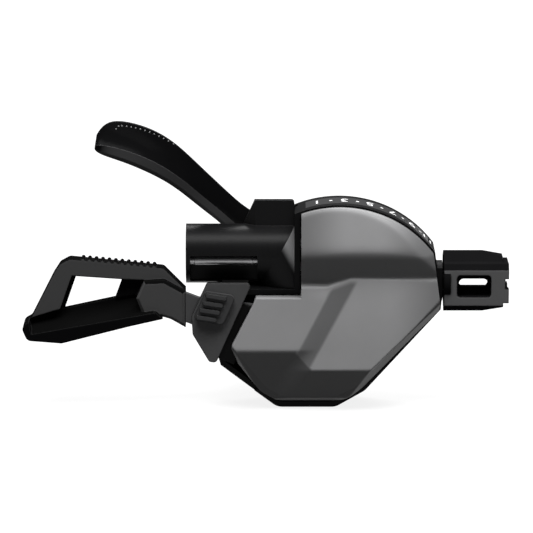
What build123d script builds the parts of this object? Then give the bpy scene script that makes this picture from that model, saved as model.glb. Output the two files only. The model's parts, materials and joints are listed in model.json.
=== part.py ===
from build123d import *
import os
from math import acos, atan2, cos, degrees, hypot, pi, radians, sin, sqrt, tan

# Right-hand rear trigger shifter for a flat handlebar.
# X runs along the bar towards the cable exit, Z is up and the front of the shifter faces -Y.
# The origin is on the bar axis, in the middle of the clamp band. Lengths are millimetres and
# angles degrees. A depth is measured from the bar axis towards the front.

# Clearances
running = 0.05
gap = 0.3
pass_gap = 0.4
seat_gap = 0.05

# Clamp band round the handlebar
bar_r = 11.1
band_wall = 2.8
band_width = 9.2
band_split = 2.0
lug_t = 3.4
lug_chamfer = 1.8
clamp_bolt_r = 2.0
clamp_bolt_head_r = 3.5
clamp_bolt_head_t = 4.0
clamp_bolt_tail = 4.0
clamp_bolt_drop = 3.3
clamp_bolt_margin = 3.8
clamp_nut_r = 3.7
clamp_nut_t = 3.2
foot_top = -5.0
foot_bottom = -12.6

# Stack of the body, from the back wall to the side plate
band_to_housing = 0.6
housing_wall = 1.5
drum_depth = 12.5
release_t = 1.8
base_t = 1.0
needle_t = 0.8
gear_t = 0.9
flange_t = 0.6
groove_w = 2.0
ratchet_t = 1.1
lever_t = 2.0
side_plate_t = 1.6

housing_back = bar_r + band_wall + band_to_housing
inner_back = housing_back + housing_wall
rim = housing_back + drum_depth
release_back = inner_back + gap
release_front = release_back + release_t
base_back = release_front + gap
base_front = base_back + base_t
needle_back = base_front + gap
needle_front = needle_back + needle_t
gear_back = needle_front + gap
gear_front = gear_back + gear_t
spool_back = gear_front + gap
spool_front = spool_back + 2 * flange_t + groove_w
cable_depth = spool_back + flange_t + groove_w / 2
ratchet_front = spool_front + ratchet_t
lever_back = ratchet_front + pass_gap
lever_front = lever_back + lever_t
side_plate_back = lever_front + pass_gap
side_plate_front = side_plate_back + side_plate_t

# Drum and its axle
axle_x = 16.9
axle_z = -11.8
axle_r = 2.4
drum_r = 30.3
shoulder_angle = 36.5

# Half-round clamp bracket in the notch of the body
boss_r = 7.7
boss_z = 4.28
boss_left = -22.4
boss_bend_x = 0.8
boss_bend_angle = 58.5
block_top = 18.4
block_depth = 1.9
block_root = 1.6
block_left = -7.7
block_front_left = -4.4
block_top_left = -4.8
block_round = 0.8
recess_left = -21.3
recess_right = -4.1
recess_bottom = -2.2
recess_top = 5.0
recess_floor = 3.0
bracket_pin_r = 1.0
bracket_pin_sleeve_r = 1.2
bracket_pin_z = 3.6
bracket_pin_depth = 6.0
bracket_screw_r = 1.2
bracket_screw_length = 5.0
bracket_screw_zs = (1.0, 8.0)
bracket_screw_head_r = 1.9
bracket_screw_head_t = 1.0
bracket_screw_depth = 3.4
bracket_pin_bite = 1.2
sleeve_inset = 1.2

# Outline of the body below the drum
notch_x = 5.4
ledge_z = boss_z - boss_r
right_corner = (43.0, -6.5)
right_foot = (42.8, -8.7)
keel_right = (23.5, -30.1)
keel_bottom = -34.4
keel_bottom_right = 16.0
keel_bottom_left = 1.0
keel_left = (-5.6, -29.5)
tail_low = (-13.5, -23.5)
tail_x = -14.5
tail_z = -20.0
keel_round = 4.0

# Front cover
cover_inset = 0.5
cover_wall = 1.5
cover_left = 7.1
cover_ledge = -5.0
cover_slant_top = -4.4
cover_slant_foot = (-10.7, -17.3)
cover_heel = (-9.0, -22.0)
cover_keel_left = (-3.1, -29.7)
cover_keel_bottom = -32.4
cover_keel_start = 1.5
cover_keel_end = 17.0
cover_keel_right = (22.6, -29.2)
cover_side_foot = (32.6, -18.6)
cover_round = 2.5
dome_rise = 6.4
dome_flat_r = 23.0
dome_edge_rise = 0.9
dome_knee = 0.71
slope_top_rise = 1.5
slope_top_z = 18.6
bulge_rise = 5.4
bulge_z = 9.4
bulge_middle_rise = 5.3
bulge_middle_z = 4.4
bulge_end_rise = 3.4
crease_z = 0.2
left_crease_z = -1.7
crease_rise = 4.3
crease_lip = 0.5
panel_foot_z = -23.8
panel_rise = 6.2
keel_rise = 0.9
panel_step = 0.9
left_panel_foot_z = -18.5
facet_high_top = (13.6, -4.2)
facet_high_foot = (6.7, -17.2)
facet_width = 5.6

# Screws that hold the cover from behind
cover_screw_r = 1.1
cover_screw_head_r = 1.9
cover_screw_head_t = 1.2
cover_boss_r = 2.4
cover_screw_places = ((36.4, -8.6), (19.5, -29.5), (0.8, -28.6))
cover_screw_bite = 3.0

# Gear display along the top of the drum
window_start = 41.2
window_end = 106.7
window_back = 16.9
window_front = 24.3
window_lip = 0.6
window_lip_t = 0.45
dial_drop = 3.9
dial_t = 0.6
pointer_drop = 2.9
pointer_t = 0.5
needle_w = 1.8
pointer_w = 1.2
needle_bridge_drop = 6.9
needle_rest = 44.0

# Spool, ratchet and pawls
groove_r = 10.0
flange_r = 11.2
spool_hub_r = 4.6
spring_well_r = 7.6
nipple_r = 0.9
nipple_place_r = 8.8
nipple_angle = 200.0
ratchet_teeth = 24
ratchet_tip_r = 9.6
ratchet_root_r = 8.3
pawl_pin_r = 1.0
pawl_hub_r = 1.9
pawl_body = 1.5
pawl_tail_w = 1.2
pawl_tip_gap = 0.35
pawl_nose = 1.6
hold_pawl_r = 13.6
hold_pawl_angle = 265.0
hold_pawl_reach = 30.0
feed_pawl_r = 14.2
feed_pawl_angle = 186.0
feed_pawl_reach = 32.0
pawl_tail = 3.4
pawl_pin_step = 0.5

# Reduction gears of the display
gear_module = 0.5
spool_gear_teeth = 16
wheel_teeth = 20
pinion_teeth = 12
needle_gear_teeth = 24
backlash = 0.16
reduction_pin_r = 1.0
reduction_angle = 330.0
pressure_angle = 20.0
gear_tip = 0.85
gear_root = 1.15
gear_flank_low = 0.4
gear_flank_high = 0.45

# Steel base plate
base_r = 15.0
post_r = 1.8
post_place_r = 13.2
post_angles = (60.0, 205.0, 300.0)
clip_r = 4.2
clip_t = 0.6
clip_gap = 0.2
axle_nose = 0.8
clip_groove = 0.5
clip_mouth_angle = 300.0

# Release lever
release_angle = 138.5
release_hub_r = 6.2
release_swing = 10.0
release_arm_w = 6.4
finger_r = 0.9
finger_place_r = 17.0
finger_angle = 252.0
finger_arm_w = 3.4
release_tab_w = 2.6
release_tab_r = 11.5
release_tab_angle = 20.0
spring_wire = 0.7
hairpin_start = 7.6
hairpin_end = 14.6
hairpin_post_r = 1.3

# Spiral return spring of the spool
spiral_t = 0.45
spiral_turns = 2.5
spiral_steps = 45

# Stations of the release blade, from the tip inwards: upper edge, lower edge, front, back and
# the share of the thickness that its hollow leaves
blade_stations = (
    ((-45.2, 35.0), (-45.6, 32.0), 21.8, 17.6, 0.44),
    ((-42.8, 37.6), (-44.1, 30.9), 23.2, 16.4, 0.44),
    ((-37.5, 38.0), (-39.5, 29.3), 24.0, 15.7, 0.44),
    ((-29.6, 35.3), (-33.6, 26.8), 23.2, 15.7, 0.45),
    ((-22.8, 30.4), (-27.5, 23.3), 21.3, 15.8, 0.48),
    ((-18.2, 26.0), (-23.0, 19.8), 19.5, 15.9, 0.54),
    ((-13.6, 21.6), (-18.5, 15.9), 18.2, 16.0, 0.62),
    ((-6.5, 15.5), (-11.4, 9.7), 18.1, 16.2, 0.68),
    ((0.2, 9.7), (-4.7, 3.9), 18.1, 16.3, 0.70),
)
blade_shoulder = 0.36
blade_edge = 0.12
blade_middle = 0.66

# Main lever: steel arm and moulded thumb pad
lever_hub_r = 5.2
lever_swing = 30.0
lever_slot_start = 166.0
lever_slot_room = 24.0
rim_slot_setback = 1.0
arm_end = -26.0
arm_top_outer = -2.6
arm_bottom_outer = -10.2
arm_top_inner = -7.4
arm_inner_x = -3.0
arm_bend_x = -19.0
arm_bend_top = -5.3
arm_bend_bottom = -12.9
lever_spring_reach = 14.4
lever_spring_arm_angle = 184.0
lever_spring_boss_angle = 290.0
pad_back = 22.6
pad_frame_front = 27.4
pad_front = 31.4
pad_right = -22.4
pad_top_right = (-28.0, 2.1)
pad_serration_start = -49.4
pad_top_left = (-52.0, 4.5)
pad_crown = (-54.4, 3.2)
pad_shoulder = (-56.1, 0.6)
pad_strut_foot = (-61.9, -10.8)
pad_tip = (-64.4, -12.2)
pad_tip_low = (-62.8, -15.9)
pad_low = (-54.0, -16.6)
pad_waist = (-36.5, -12.1)
pad_waist_right = (-28.2, -10.2)
pad_heel_z = -13.0
pad_top_right_z = -3.6
opening_corners = ((-53.4, -8.9), (-50.2, 0.2), (-38.5, -0.7), (-40.5, -6.1))
opening_flare = 2.3
pad_round = 1.6
serration_count = 12
serration_r = 0.5
scoop_corners = ((-61.9, -10.8), (-55.9, -8.9), (-40.5, -5.9), (-35.5, -5.0), (-30.4, -8.7))
scoop_rim_left = (-61.8, -14.2)
scoop_rim_right = (-30.0, -8.5)
scoop_rim_sag = 1.3
scoop_knee = 4.4
scoop_depth = 6.2
scoop_reach = 8.0
arm_face_front = 29.4
arm_face_bevel = 0.7
arm_face_taper = 45.0
arm_face_corners = ((-35.0, -5.4), (-33.0, -0.9), (-27.8, -0.6), (-22.4, -3.6), (-22.4, -13.0),
                    (-26.2, -10.8), (-28.2, -10.2), (-33.5, -9.4))
step_left = -38.9
step_drop = 1.6

# Side plate with the cable-port door
plate_top = -1.0
plate_top_left = -16.9
plate_top_right = -5.4
plate_waist = (-20.9, -9.6)
plate_hip = (-20.6, -14.4)
plate_toe_left = (-16.4, -21.6)
plate_toe_right = (-14.6, -21.8)
plate_round = 1.0
skirt_seat = 1.0
tongue_t = 0.9
tongue_reach = 4.4
tongue_start = 6.0
tongue_foot_inset = 1.2
door_corner = (-17.3, -2.9)
door_w = 7.9
door_h = 8.2
door_t = 1.1
door_round = 1.2
door_fall = -9.0
door_slide = 4.4
door_tongue_w = 4.0
door_tongue_h = 1.8
door_tongue_rise = 2.2
door_tongue_t = 1.3
rib_count = 4
rib_h = 0.6
rib_w = 1.1
rib_length = 5.4
rib_inset = 0.5

# Barrel adjuster
stem_r = 2.5
stem_bore_r = 0.9
stem_inside = 2.6
stem_collar_r = 3.2
stem_collar_gap = 0.7
stem_collar_t = 0.5
neck_r = 5.2
neck_gap = 0.3
adjuster_gap = 0.5
adjuster_length = 16.6
adjuster_collar_r = 5.4
adjuster_collar_length = 1.7
adjuster_wing_r = 7.7
adjuster_wing_length = 9.6
adjuster_shoulder_r = 6.2
adjuster_shoulder = 1.4
adjuster_end_r = 5.0
adjuster_pocket_start = 3.4
adjuster_pocket_length = 8.6
adjuster_pocket_top = 2.2
adjuster_pocket_foot = -3.4
adjuster_pocket_round = 0.8
adjuster_web = 3.0
adjuster_slot_length = 7.4
adjuster_slot_w = 2.5
adjuster_slot_drop = 0.5
adjuster_thread_depth = 3.0
adjuster_notch = 0.9
adjuster_notch_w = 2.6
casing_r = 2.6
casing_depth = 4.4
cable_hole_r = 0.9

# Half of the pinwheel section of the barrel adjuster, as depth and height over its axis. The
# other half is the same, turned by half a turn.
pinwheel = ((4.6, -5.7), (4.6, 3.5), (3.4, 5.0), (1.5, 5.2), (-1.6, 7.6))

dial_r = drum_r - dial_drop
pointer_r = drum_r - pointer_drop
needle_bridge_r = drum_r - needle_bridge_drop
clamp_bolt_z = -(bar_r + band_wall + clamp_bolt_drop)
lug_reach = clamp_bolt_margin - clamp_bolt_z
lever_slot_end = lever_slot_start + lever_swing + lever_slot_room
cable_z = axle_z + groove_r
bracket_screw_y = -base_back - bracket_screw_depth
module_sum = spool_gear_teeth + wheel_teeth
reduction_r = gear_module * module_sum / 2

os.makedirs("parts", exist_ok=True)


def front(depth):
    """Plane that faces the front: its x is X, its y is Z, and it lies this far before the bar."""
    return Plane.XZ.offset(depth)


def across(x):
    """Plane that faces along the bar: its x is Y and its y is Z."""
    return Plane.YZ.offset(x)


def drum_point(radius, angle):
    """Point about the main axle, in X and Z."""
    return (axle_x + radius * cos(radians(angle)), axle_z + radius * sin(radians(angle)))


def disc(radius, centre):
    """Round face about a point in X and Z."""
    with BuildSketch() as shape:
        with Locations(centre):
            Circle(radius)
    return shape.sketch


def sector(r_in, r_out, start, end):
    """Ring segment about the main axle."""
    centre = (axle_x, axle_z)
    with BuildSketch() as shape:
        with BuildLine():
            CenterArc(centre, r_out, start, end - start)
            Line(drum_point(r_out, end), drum_point(r_in, end))
            CenterArc(centre, r_in, start, end - start)
            Line(drum_point(r_in, start), drum_point(r_out, start))
        make_face()
    return shape.sketch


def spoke(r_in, r_out, angle, width):
    """Straight bar that points away from the main axle."""
    with BuildSketch() as shape:
        with Locations(Location((axle_x, axle_z, 0), (0, 0, angle))):
            with Locations(((r_in + r_out) / 2, 0)):
                Rectangle(r_out - r_in, width)
    return shape.sketch


def housing_shape(inset=0.0):
    """Outline of the body: drum on top, keel below, tail on the left and a square notch."""
    top = (notch_x, axle_z + sqrt(drum_r**2 - (axle_x - notch_x) ** 2))
    shoulder = drum_point(drum_r, shoulder_angle)
    keel_a = (keel_bottom_right, keel_bottom)
    keel_b = (keel_bottom_left, keel_bottom)
    with BuildSketch() as shape:
        with BuildLine():
            ThreePointArc(top, drum_point(drum_r, 90), shoulder)
            Polyline(shoulder, right_corner, right_foot, keel_right, keel_a, keel_b, keel_left,
                     tail_low, (tail_x, tail_z), (tail_x, ledge_z), (notch_x, ledge_z), top)
        make_face()
        fillet(shape.vertices().group_by(Axis.Y)[:3], radius=keel_round)
        if inset:
            offset(amount=-inset, kind=Kind.INTERSECTION)
    return shape.sketch


def cover_shape(inset=0.0):
    """Outline of the front cover, which leaves a black margin of the housing round it."""
    edge_r = drum_r - cover_inset
    top = (cover_left, axle_z + sqrt(edge_r**2 - (axle_x - cover_left) ** 2))
    shoulder = drum_point(edge_r, shoulder_angle)
    with BuildSketch() as shape:
        with BuildLine():
            ThreePointArc(top, drum_point(edge_r, 90), shoulder)
            Polyline(shoulder, (right_corner[0] - cover_inset, right_corner[1]),
                     (right_foot[0] - cover_inset, right_foot[1]), cover_side_foot, cover_keel_right,
                     (cover_keel_end, cover_keel_bottom), (cover_keel_start, cover_keel_bottom),
                     cover_keel_left, cover_heel, cover_slant_foot, (cover_slant_top, cover_ledge),
                     (cover_left, cover_ledge), top)
        make_face()
        fillet(shape.vertices().group_by(Axis.Y)[:3], radius=cover_round)
        if inset:
            offset(amount=-inset, kind=Kind.INTERSECTION)
    return shape.sketch


def panel_rise_at(z, top_z, foot_z, foot_rise):
    """Rise of a front panel over the rim, from the crease down to its foot."""
    return crease_rise + (foot_rise - crease_rise) * (top_z - z) / (top_z - foot_z)


def panel_prism(back, top_z, foot_z, foot_rise):
    """Front panel carried along X: a lip at the crease, a lean outwards, a tuck in to the keel."""
    with BuildPart() as prism:
        with BuildSketch(across(cover_heel[0] - drum_r)):
            Polygon((-back, top_z + crease_lip), (-back - bulge_end_rise, top_z + crease_lip),
                    (-back - crease_rise, top_z), (-back - foot_rise, foot_z),
                    (-back - keel_rise, cover_keel_bottom), (-back, cover_keel_bottom), align=None)
        extrude(amount=4 * drum_r)
    return prism.part


def bulge_prism(back):
    """Upper face carried along X: a slope from the top that bends over and falls back to the crease."""
    crown = (-back - bulge_rise, bulge_z)
    foot = (-back - bulge_end_rise, left_crease_z)
    with BuildPart() as prism:
        with BuildSketch(across(cover_heel[0] - drum_r)):
            with BuildLine():
                ThreePointArc(crown, (-back - bulge_middle_rise, bulge_middle_z), foot)
                Polyline(foot, (-back - bulge_end_rise, cover_keel_bottom), (-back, cover_keel_bottom),
                         (-back, slope_top_z), (-back - slope_top_rise, slope_top_z), crown)
            make_face()
        extrude(amount=4 * drum_r)
    return prism.part


def left_panel(back):
    """The raised left panel, cut off by the slanted facet that steps down to the right panel."""
    high_rise = panel_rise + panel_step
    top_rise = panel_rise_at(facet_high_top[1], left_crease_z, left_panel_foot_z, high_rise)
    foot_rise = panel_rise_at(facet_high_foot[1], left_crease_z, left_panel_foot_z, high_rise)
    facet_top = Vector(facet_high_top[0], -back - top_rise, facet_high_top[1])
    facet_foot = Vector(facet_high_foot[0], -back - foot_rise, facet_high_foot[1])
    along = facet_top - facet_foot
    side = Vector(along.Z, 0, -along.X).normalized() * facet_width
    low_z = facet_foot.Z + side.Z
    low_rise = panel_rise_at(low_z, crease_z, panel_foot_z, panel_rise)
    low_point = Vector(facet_foot.X + side.X, -back - low_rise, low_z)
    normal = along.cross(low_point - facet_foot)
    with BuildPart() as panel:
        add(panel_prism(back, left_crease_z, left_panel_foot_z, high_rise))
        split(bisect_by=Plane(origin=facet_foot, z_dir=normal), keep=Keep.TOP)
    return panel.part


def right_panel(back):
    """The right panel, whose top edge steps down along the slanted facet to the left crease."""
    with BuildPart() as panel:
        add(panel_prism(back, crease_z, panel_foot_z, panel_rise))
        with BuildSketch(front(back)):
            Polygon((cover_heel[0] - drum_r, left_crease_z + crease_lip),
                    (facet_high_top[0], left_crease_z + crease_lip),
                    (facet_high_top[0] + facet_width, crease_z + 2 * crease_lip),
                    (cover_heel[0] - drum_r, crease_z + 2 * crease_lip), align=None)
        extrude(amount=2 * panel_rise, mode=Mode.SUBTRACT)
    return panel.part


def cover_body(inset, wall):
    """Solid under the cover's face: a dome above the crease and two stepped panels below it."""
    edge_r = drum_r - cover_inset
    back = rim - wall
    with BuildPart() as body:
        with BuildSketch(Plane.XY.offset(axle_z)):
            with BuildLine():
                lip = (axle_x + edge_r, -back - dome_edge_rise)
                flat = (axle_x + dome_flat_r, -back - dome_rise)
                knee = (flat[0] + (lip[0] - flat[0]) * dome_knee, lip[1] + (flat[1] - lip[1]) * dome_knee)
                Polyline(flat, (axle_x, -back - dome_rise), (axle_x, -back), (axle_x + edge_r, -back), lip)
                ThreePointArc(lip, knee, flat)
            make_face()
        revolve(axis=Axis((axle_x, 0, axle_z), (0, 1, 0)))
        add(bulge_prism(back), mode=Mode.INTERSECT)
        add(right_panel(back))
        add(left_panel(back))
        with BuildSketch(front(back)):
            add(cover_shape(inset))
        extrude(amount=2 * panel_rise, mode=Mode.INTERSECT)
    return body.part


def involute(angle):
    """Involute of an angle in radians."""
    return tan(angle) - angle


def gear_shape(teeth, phase):
    """Spur gear about the origin, thinned by the backlash, with a tooth at the phase angle."""
    pitch_r = gear_module * teeth / 2
    base_circle = pitch_r * cos(radians(pressure_angle))
    tip_r = pitch_r + gear_tip * gear_module
    root_r = pitch_r - gear_root * gear_module
    half_pitch = pi / 2 / teeth - backlash / 2 / pitch_r
    flank = []
    low_r = pitch_r - gear_flank_low * gear_module
    high_r = pitch_r + gear_flank_high * gear_module
    for radius in (root_r, low_r, pitch_r, high_r, tip_r):
        slope = acos(base_circle / max(radius, base_circle))
        half = half_pitch + involute(radians(pressure_angle)) - involute(slope)
        flank.append((radius, half))
    points = []
    for tooth in range(teeth):
        middle = radians(phase) + 2 * pi * tooth / teeth
        for radius, half in flank:
            points.append((radius * cos(middle - half), radius * sin(middle - half)))
        for radius, half in reversed(flank):
            points.append((radius * cos(middle + half), radius * sin(middle + half)))
    with BuildSketch() as shape:
        Polygon(*points, align=None)
    return shape.sketch


def pawl_shape(pivot_r, pivot_angle, reach):
    """Pawl about the main axle: a hub on its pin, a tapered nose and a short tail."""
    pivot = drum_point(pivot_r, pivot_angle)
    nose_r = ratchet_tip_r + pawl_tip_gap
    tail_angle = pivot_angle - degrees(pawl_tail / pivot_r)
    nose = drum_point(nose_r, pivot_angle + reach)
    nose_out = drum_point(nose_r + pawl_nose, pivot_angle + reach)
    heel = drum_point(pivot_r + pawl_body, pivot_angle)
    belly = drum_point(pivot_r - pawl_body, pivot_angle)
    tail = drum_point(pivot_r, tail_angle)
    tail_out = drum_point(pivot_r + pawl_tail_w, tail_angle)
    with BuildSketch() as shape:
        Polygon(belly, nose, nose_out, heel, align=None)
        Polygon(belly, heel, tail_out, tail, align=None)
        with Locations(pivot):
            Circle(pawl_hub_r)
        with Locations(pivot):
            Circle(pawl_pin_r + running, mode=Mode.SUBTRACT)
    return shape.sketch


def half_round(origin, direction):
    """Half-round bar before the base plate's plane: its axis runs through a point of that plane."""
    with BuildPart() as bar:
        with BuildSketch(Plane(origin, x_dir=(0, -1, 0), z_dir=direction)):
            Circle(boss_r)
            with Locations((-boss_r, 0)):
                Rectangle(2 * boss_r, 2 * boss_r, mode=Mode.SUBTRACT)
        extrude(amount=notch_x - boss_left, both=True)
    return bar.part


def boss_body():
    """Boss of the bracket: a level half-round bar that meets a steep one along a slanted mitre."""
    bend = (boss_bend_x, -base_back, boss_z)
    turn = radians(2 * boss_bend_angle)
    mitre = Plane(bend, z_dir=(sin(turn / 2), 0, -cos(turn / 2)))
    with BuildPart() as level:
        add(half_round(bend, (1, 0, 0)))
        split(bisect_by=mitre, keep=Keep.BOTTOM)
    with BuildPart() as steep:
        add(half_round(bend, (-cos(turn), 0, -sin(turn))))
        split(bisect_by=mitre, keep=Keep.TOP)
    with BuildPart() as body:
        add(level.part)
        add(steep.part)
        with BuildSketch(front(base_back)):
            with Locations(((boss_left + notch_x) / 2, boss_z)):
                Rectangle(notch_x - boss_left, 2 * boss_r)
        extrude(amount=2 * boss_r, mode=Mode.INTERSECT)
    return body.part


def bracket_block():
    """Block behind the crest of the boss, with a three-cornered facet on its left."""
    crest = boss_z + boss_r
    facet_foot = Vector(block_left, -base_back, crest)
    facet_top = Vector(block_top_left, -base_back - block_depth, block_top)
    facet_front = Vector(block_front_left, -base_back - block_depth, crest)
    normal = (facet_top - facet_front).cross(facet_foot - facet_front)
    with BuildPart() as block:
        with BuildSketch(front(base_back)) as face:
            Polygon((block_left, crest - block_root), (block_left, crest), (block_top_left, block_top),
                    (notch_x, block_top), (notch_x, crest - block_root), align=None)
            fillet(face.vertices().group_by(Axis.Y)[-1].sort_by(Axis.X)[-1], radius=block_round)
        extrude(amount=block_depth)
        split(bisect_by=Plane(facet_front, z_dir=normal), keep=Keep.BOTTOM)
    return block.part


# Clamp band: a split ring with pinch lugs below and a foot on the back wall of the body
with BuildPart() as clamp_band:
    with BuildSketch(across(-band_width / 2)):
        Circle(bar_r + band_wall)
        Polygon((0, foot_top), (-housing_back, foot_top), (-housing_back, foot_bottom),
                (0, foot_bottom), align=None)
        with Locations((0, -(bar_r + lug_reach) / 2)):
            Rectangle(band_split + 2 * lug_t, lug_reach - bar_r)
        Circle(bar_r, mode=Mode.SUBTRACT)
        with Locations((0, -lug_reach / 2)):
            Rectangle(band_split, lug_reach, mode=Mode.SUBTRACT)
    extrude(amount=band_width)
    lug_face = band_split / 2 + lug_t
    with BuildSketch(front(lug_face)):
        with Locations((0, clamp_bolt_z)):
            Circle(clamp_bolt_r + running)
    extrude(amount=-2 * lug_face, mode=Mode.SUBTRACT)
    chamfer(clamp_band.edges().filter_by(Axis.Y).group_by(Axis.Z)[0], length=lug_chamfer)
clamp_band.part.label = "clamp_band"
export_step(clamp_band.part, "parts/clamp_band.step")

# Pinch bolt of the band, with a socket head on the rider's side
with BuildPart() as clamp_bolt:
    with BuildSketch(front(-lug_face)):
        with Locations((0, clamp_bolt_z)):
            Circle(clamp_bolt_r)
    extrude(amount=2 * lug_face + clamp_bolt_tail)
    with BuildSketch(front(-lug_face)):
        with Locations((0, clamp_bolt_z)):
            Circle(clamp_bolt_head_r)
    extrude(amount=-clamp_bolt_head_t)
    with BuildSketch(front(-lug_face - clamp_bolt_head_t)):
        with Locations((0, clamp_bolt_z)):
            RegularPolygon(clamp_bolt_r, 6)
    extrude(amount=clamp_bolt_head_t / 2, mode=Mode.SUBTRACT)
clamp_bolt.part.label = "clamp_bolt"
export_step(clamp_bolt.part, "parts/clamp_bolt.step")

# Nut of the pinch bolt
with BuildPart() as clamp_nut:
    with BuildSketch(front(lug_face)):
        with Locations((0, clamp_bolt_z)):
            RegularPolygon(clamp_nut_r, 6)
            Circle(clamp_bolt_r + running, mode=Mode.SUBTRACT)
    extrude(amount=clamp_nut_t)
clamp_nut.part.label = "clamp_nut"
export_step(clamp_nut.part, "parts/clamp_nut.step")

# Rear housing: moulded shell with a display opening, lever slots, posts and screw bosses
slot_half = release_swing + degrees((release_arm_w / 2 + pass_gap) / (axle_x - notch_x))
shoulder_x, shoulder_z = drum_point(drum_r, shoulder_angle)
wall_share = (shoulder_z - cable_z) / (shoulder_z - right_corner[1])
wall_x = shoulder_x + wall_share * (right_corner[0] - shoulder_x)
neck_start = wall_x - housing_wall
adjuster_start = right_corner[0] + adjuster_gap
with BuildPart() as rear_housing:
    with BuildSketch(front(housing_back)):
        add(housing_shape())
    extrude(amount=drum_depth)
    with BuildSketch(front(inner_back)):
        add(housing_shape(housing_wall))
    extrude(amount=drum_depth, mode=Mode.SUBTRACT)
    with BuildSketch(front(inner_back)):
        for angle in post_angles:
            add(disc(post_r, drum_point(post_place_r, angle)))
    extrude(amount=base_back - inner_back)
    with BuildSketch(front(inner_back)):
        add(disc(hairpin_post_r, drum_point(hairpin_end, release_tab_angle)))
    extrude(amount=release_t + gap)
    with BuildSketch(front(housing_back)):
        for place in cover_screw_places:
            add(disc(cover_boss_r, place))
    extrude(amount=drum_depth)
    with BuildSketch(front(housing_back)):
        for place in cover_screw_places:
            add(disc(cover_screw_r + running, place))
        add(disc(axle_r, (axle_x, axle_z)))
    extrude(amount=drum_depth, mode=Mode.SUBTRACT)
    with BuildSketch(front(housing_back)):
        for place in cover_screw_places:
            add(disc(cover_screw_head_r + running, place))
    extrude(amount=cover_screw_head_t, mode=Mode.SUBTRACT)
    with BuildSketch(front(window_back)):
        add(sector(dial_r, drum_r + housing_wall, window_start, window_end))
    extrude(amount=window_front - window_back, mode=Mode.SUBTRACT)
    with BuildSketch(front(inner_back)):
        add(sector(release_hub_r, drum_r, release_angle - slot_half, release_angle + slot_half))
    extrude(amount=base_back - inner_back, mode=Mode.SUBTRACT)
    with BuildSketch(front(ratchet_front)):
        add(sector(release_hub_r, 2 * drum_r, lever_slot_start + rim_slot_setback, lever_slot_end))
    extrude(amount=drum_depth, mode=Mode.SUBTRACT)
    with BuildSketch(across(neck_start)):
        with Locations((-cable_depth, cable_z)):
            Circle(neck_r)
        with Locations((-rim - neck_r, cable_z)):
            Rectangle(2 * neck_r, 2 * neck_r, mode=Mode.SUBTRACT)
    extrude(amount=adjuster_start - neck_gap - neck_start)
    with BuildSketch(across(neck_start - housing_wall)):
        with Locations((-cable_depth, cable_z)):
            Circle(stem_r)
    extrude(amount=drum_r, mode=Mode.SUBTRACT)
    with BuildSketch(across(notch_x - housing_wall)):
        for screw_z in bracket_screw_zs:
            with Locations((bracket_screw_y, screw_z)):
                Circle(bracket_screw_r + running)
    extrude(amount=3 * housing_wall, mode=Mode.SUBTRACT)
rear_housing.part.label = "rear_housing"
export_step(rear_housing.part, "parts/rear_housing.step")

# Room inside the front cover, with the screw bosses left standing
with BuildPart() as cover_room:
    add(cover_body(cover_wall, cover_wall))
    with BuildSketch(front(rim - cover_wall)):
        for place in cover_screw_places:
            add(disc(cover_boss_r, place))
    extrude(amount=2 * panel_rise, mode=Mode.SUBTRACT)

# Front cover: satin shell with a dome, a crease and stepped panels, and bosses for the screws
with BuildPart() as front_cover:
    add(cover_body(0.0, 0.0))
    add(cover_room.part, mode=Mode.SUBTRACT)
    with BuildSketch(front(rim)):
        for place in cover_screw_places:
            add(disc(cover_screw_r, place))
    extrude(amount=cover_screw_bite, mode=Mode.SUBTRACT)
    with BuildSketch(front(rim)):
        add(sector(release_hub_r, 2 * drum_r, lever_slot_start, lever_slot_end))
    extrude(amount=side_plate_back + tongue_t + seat_gap - rim, mode=Mode.SUBTRACT)
front_cover.part.label = "front_cover"
export_step(front_cover.part, "parts/front_cover.step")

# Screws of the front cover, driven from behind
with BuildPart() as cover_screws:
    with BuildSketch(front(housing_back)):
        for place in cover_screw_places:
            add(disc(cover_screw_head_r, place))
    extrude(amount=cover_screw_head_t)
    with BuildSketch(front(housing_back)):
        for place in cover_screw_places:
            add(disc(cover_screw_r, place))
    extrude(amount=drum_depth + cover_screw_bite)
    with BuildSketch(front(housing_back)):
        with Locations(*cover_screw_places):
            RegularPolygon(cover_screw_r, 6)
    extrude(amount=cover_screw_head_t / 2, mode=Mode.SUBTRACT)
cover_screws.part.label = "cover_screws"
export_step(cover_screws.part, "parts/cover_screws.step")

# Clamp bracket: half-round boss with a block on top and a recess for its cross pin
bracket_pin_place = (-base_back - bracket_pin_depth, bracket_pin_z)
with BuildPart() as clamp_bracket:
    add(boss_body())
    add(bracket_block())
    with BuildSketch(front(base_back + recess_floor)):
        with Locations(((recess_left + recess_right) / 2, (recess_bottom + recess_top) / 2)):
            Rectangle(recess_right - recess_left, recess_top - recess_bottom)
    extrude(amount=boss_r, mode=Mode.SUBTRACT)
    with BuildSketch(across(boss_left)):
        with Locations(bracket_pin_place):
            Circle(bracket_pin_r)
    extrude(amount=recess_right + bracket_pin_bite - boss_left, mode=Mode.SUBTRACT)
    with BuildSketch(across(notch_x)):
        for screw_z in bracket_screw_zs:
            with Locations((bracket_screw_y, screw_z)):
                Circle(bracket_screw_r)
    extrude(amount=-bracket_screw_length, mode=Mode.SUBTRACT)
clamp_bracket.part.label = "clamp_bracket"
export_step(clamp_bracket.part, "parts/clamp_bracket.step")

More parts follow.
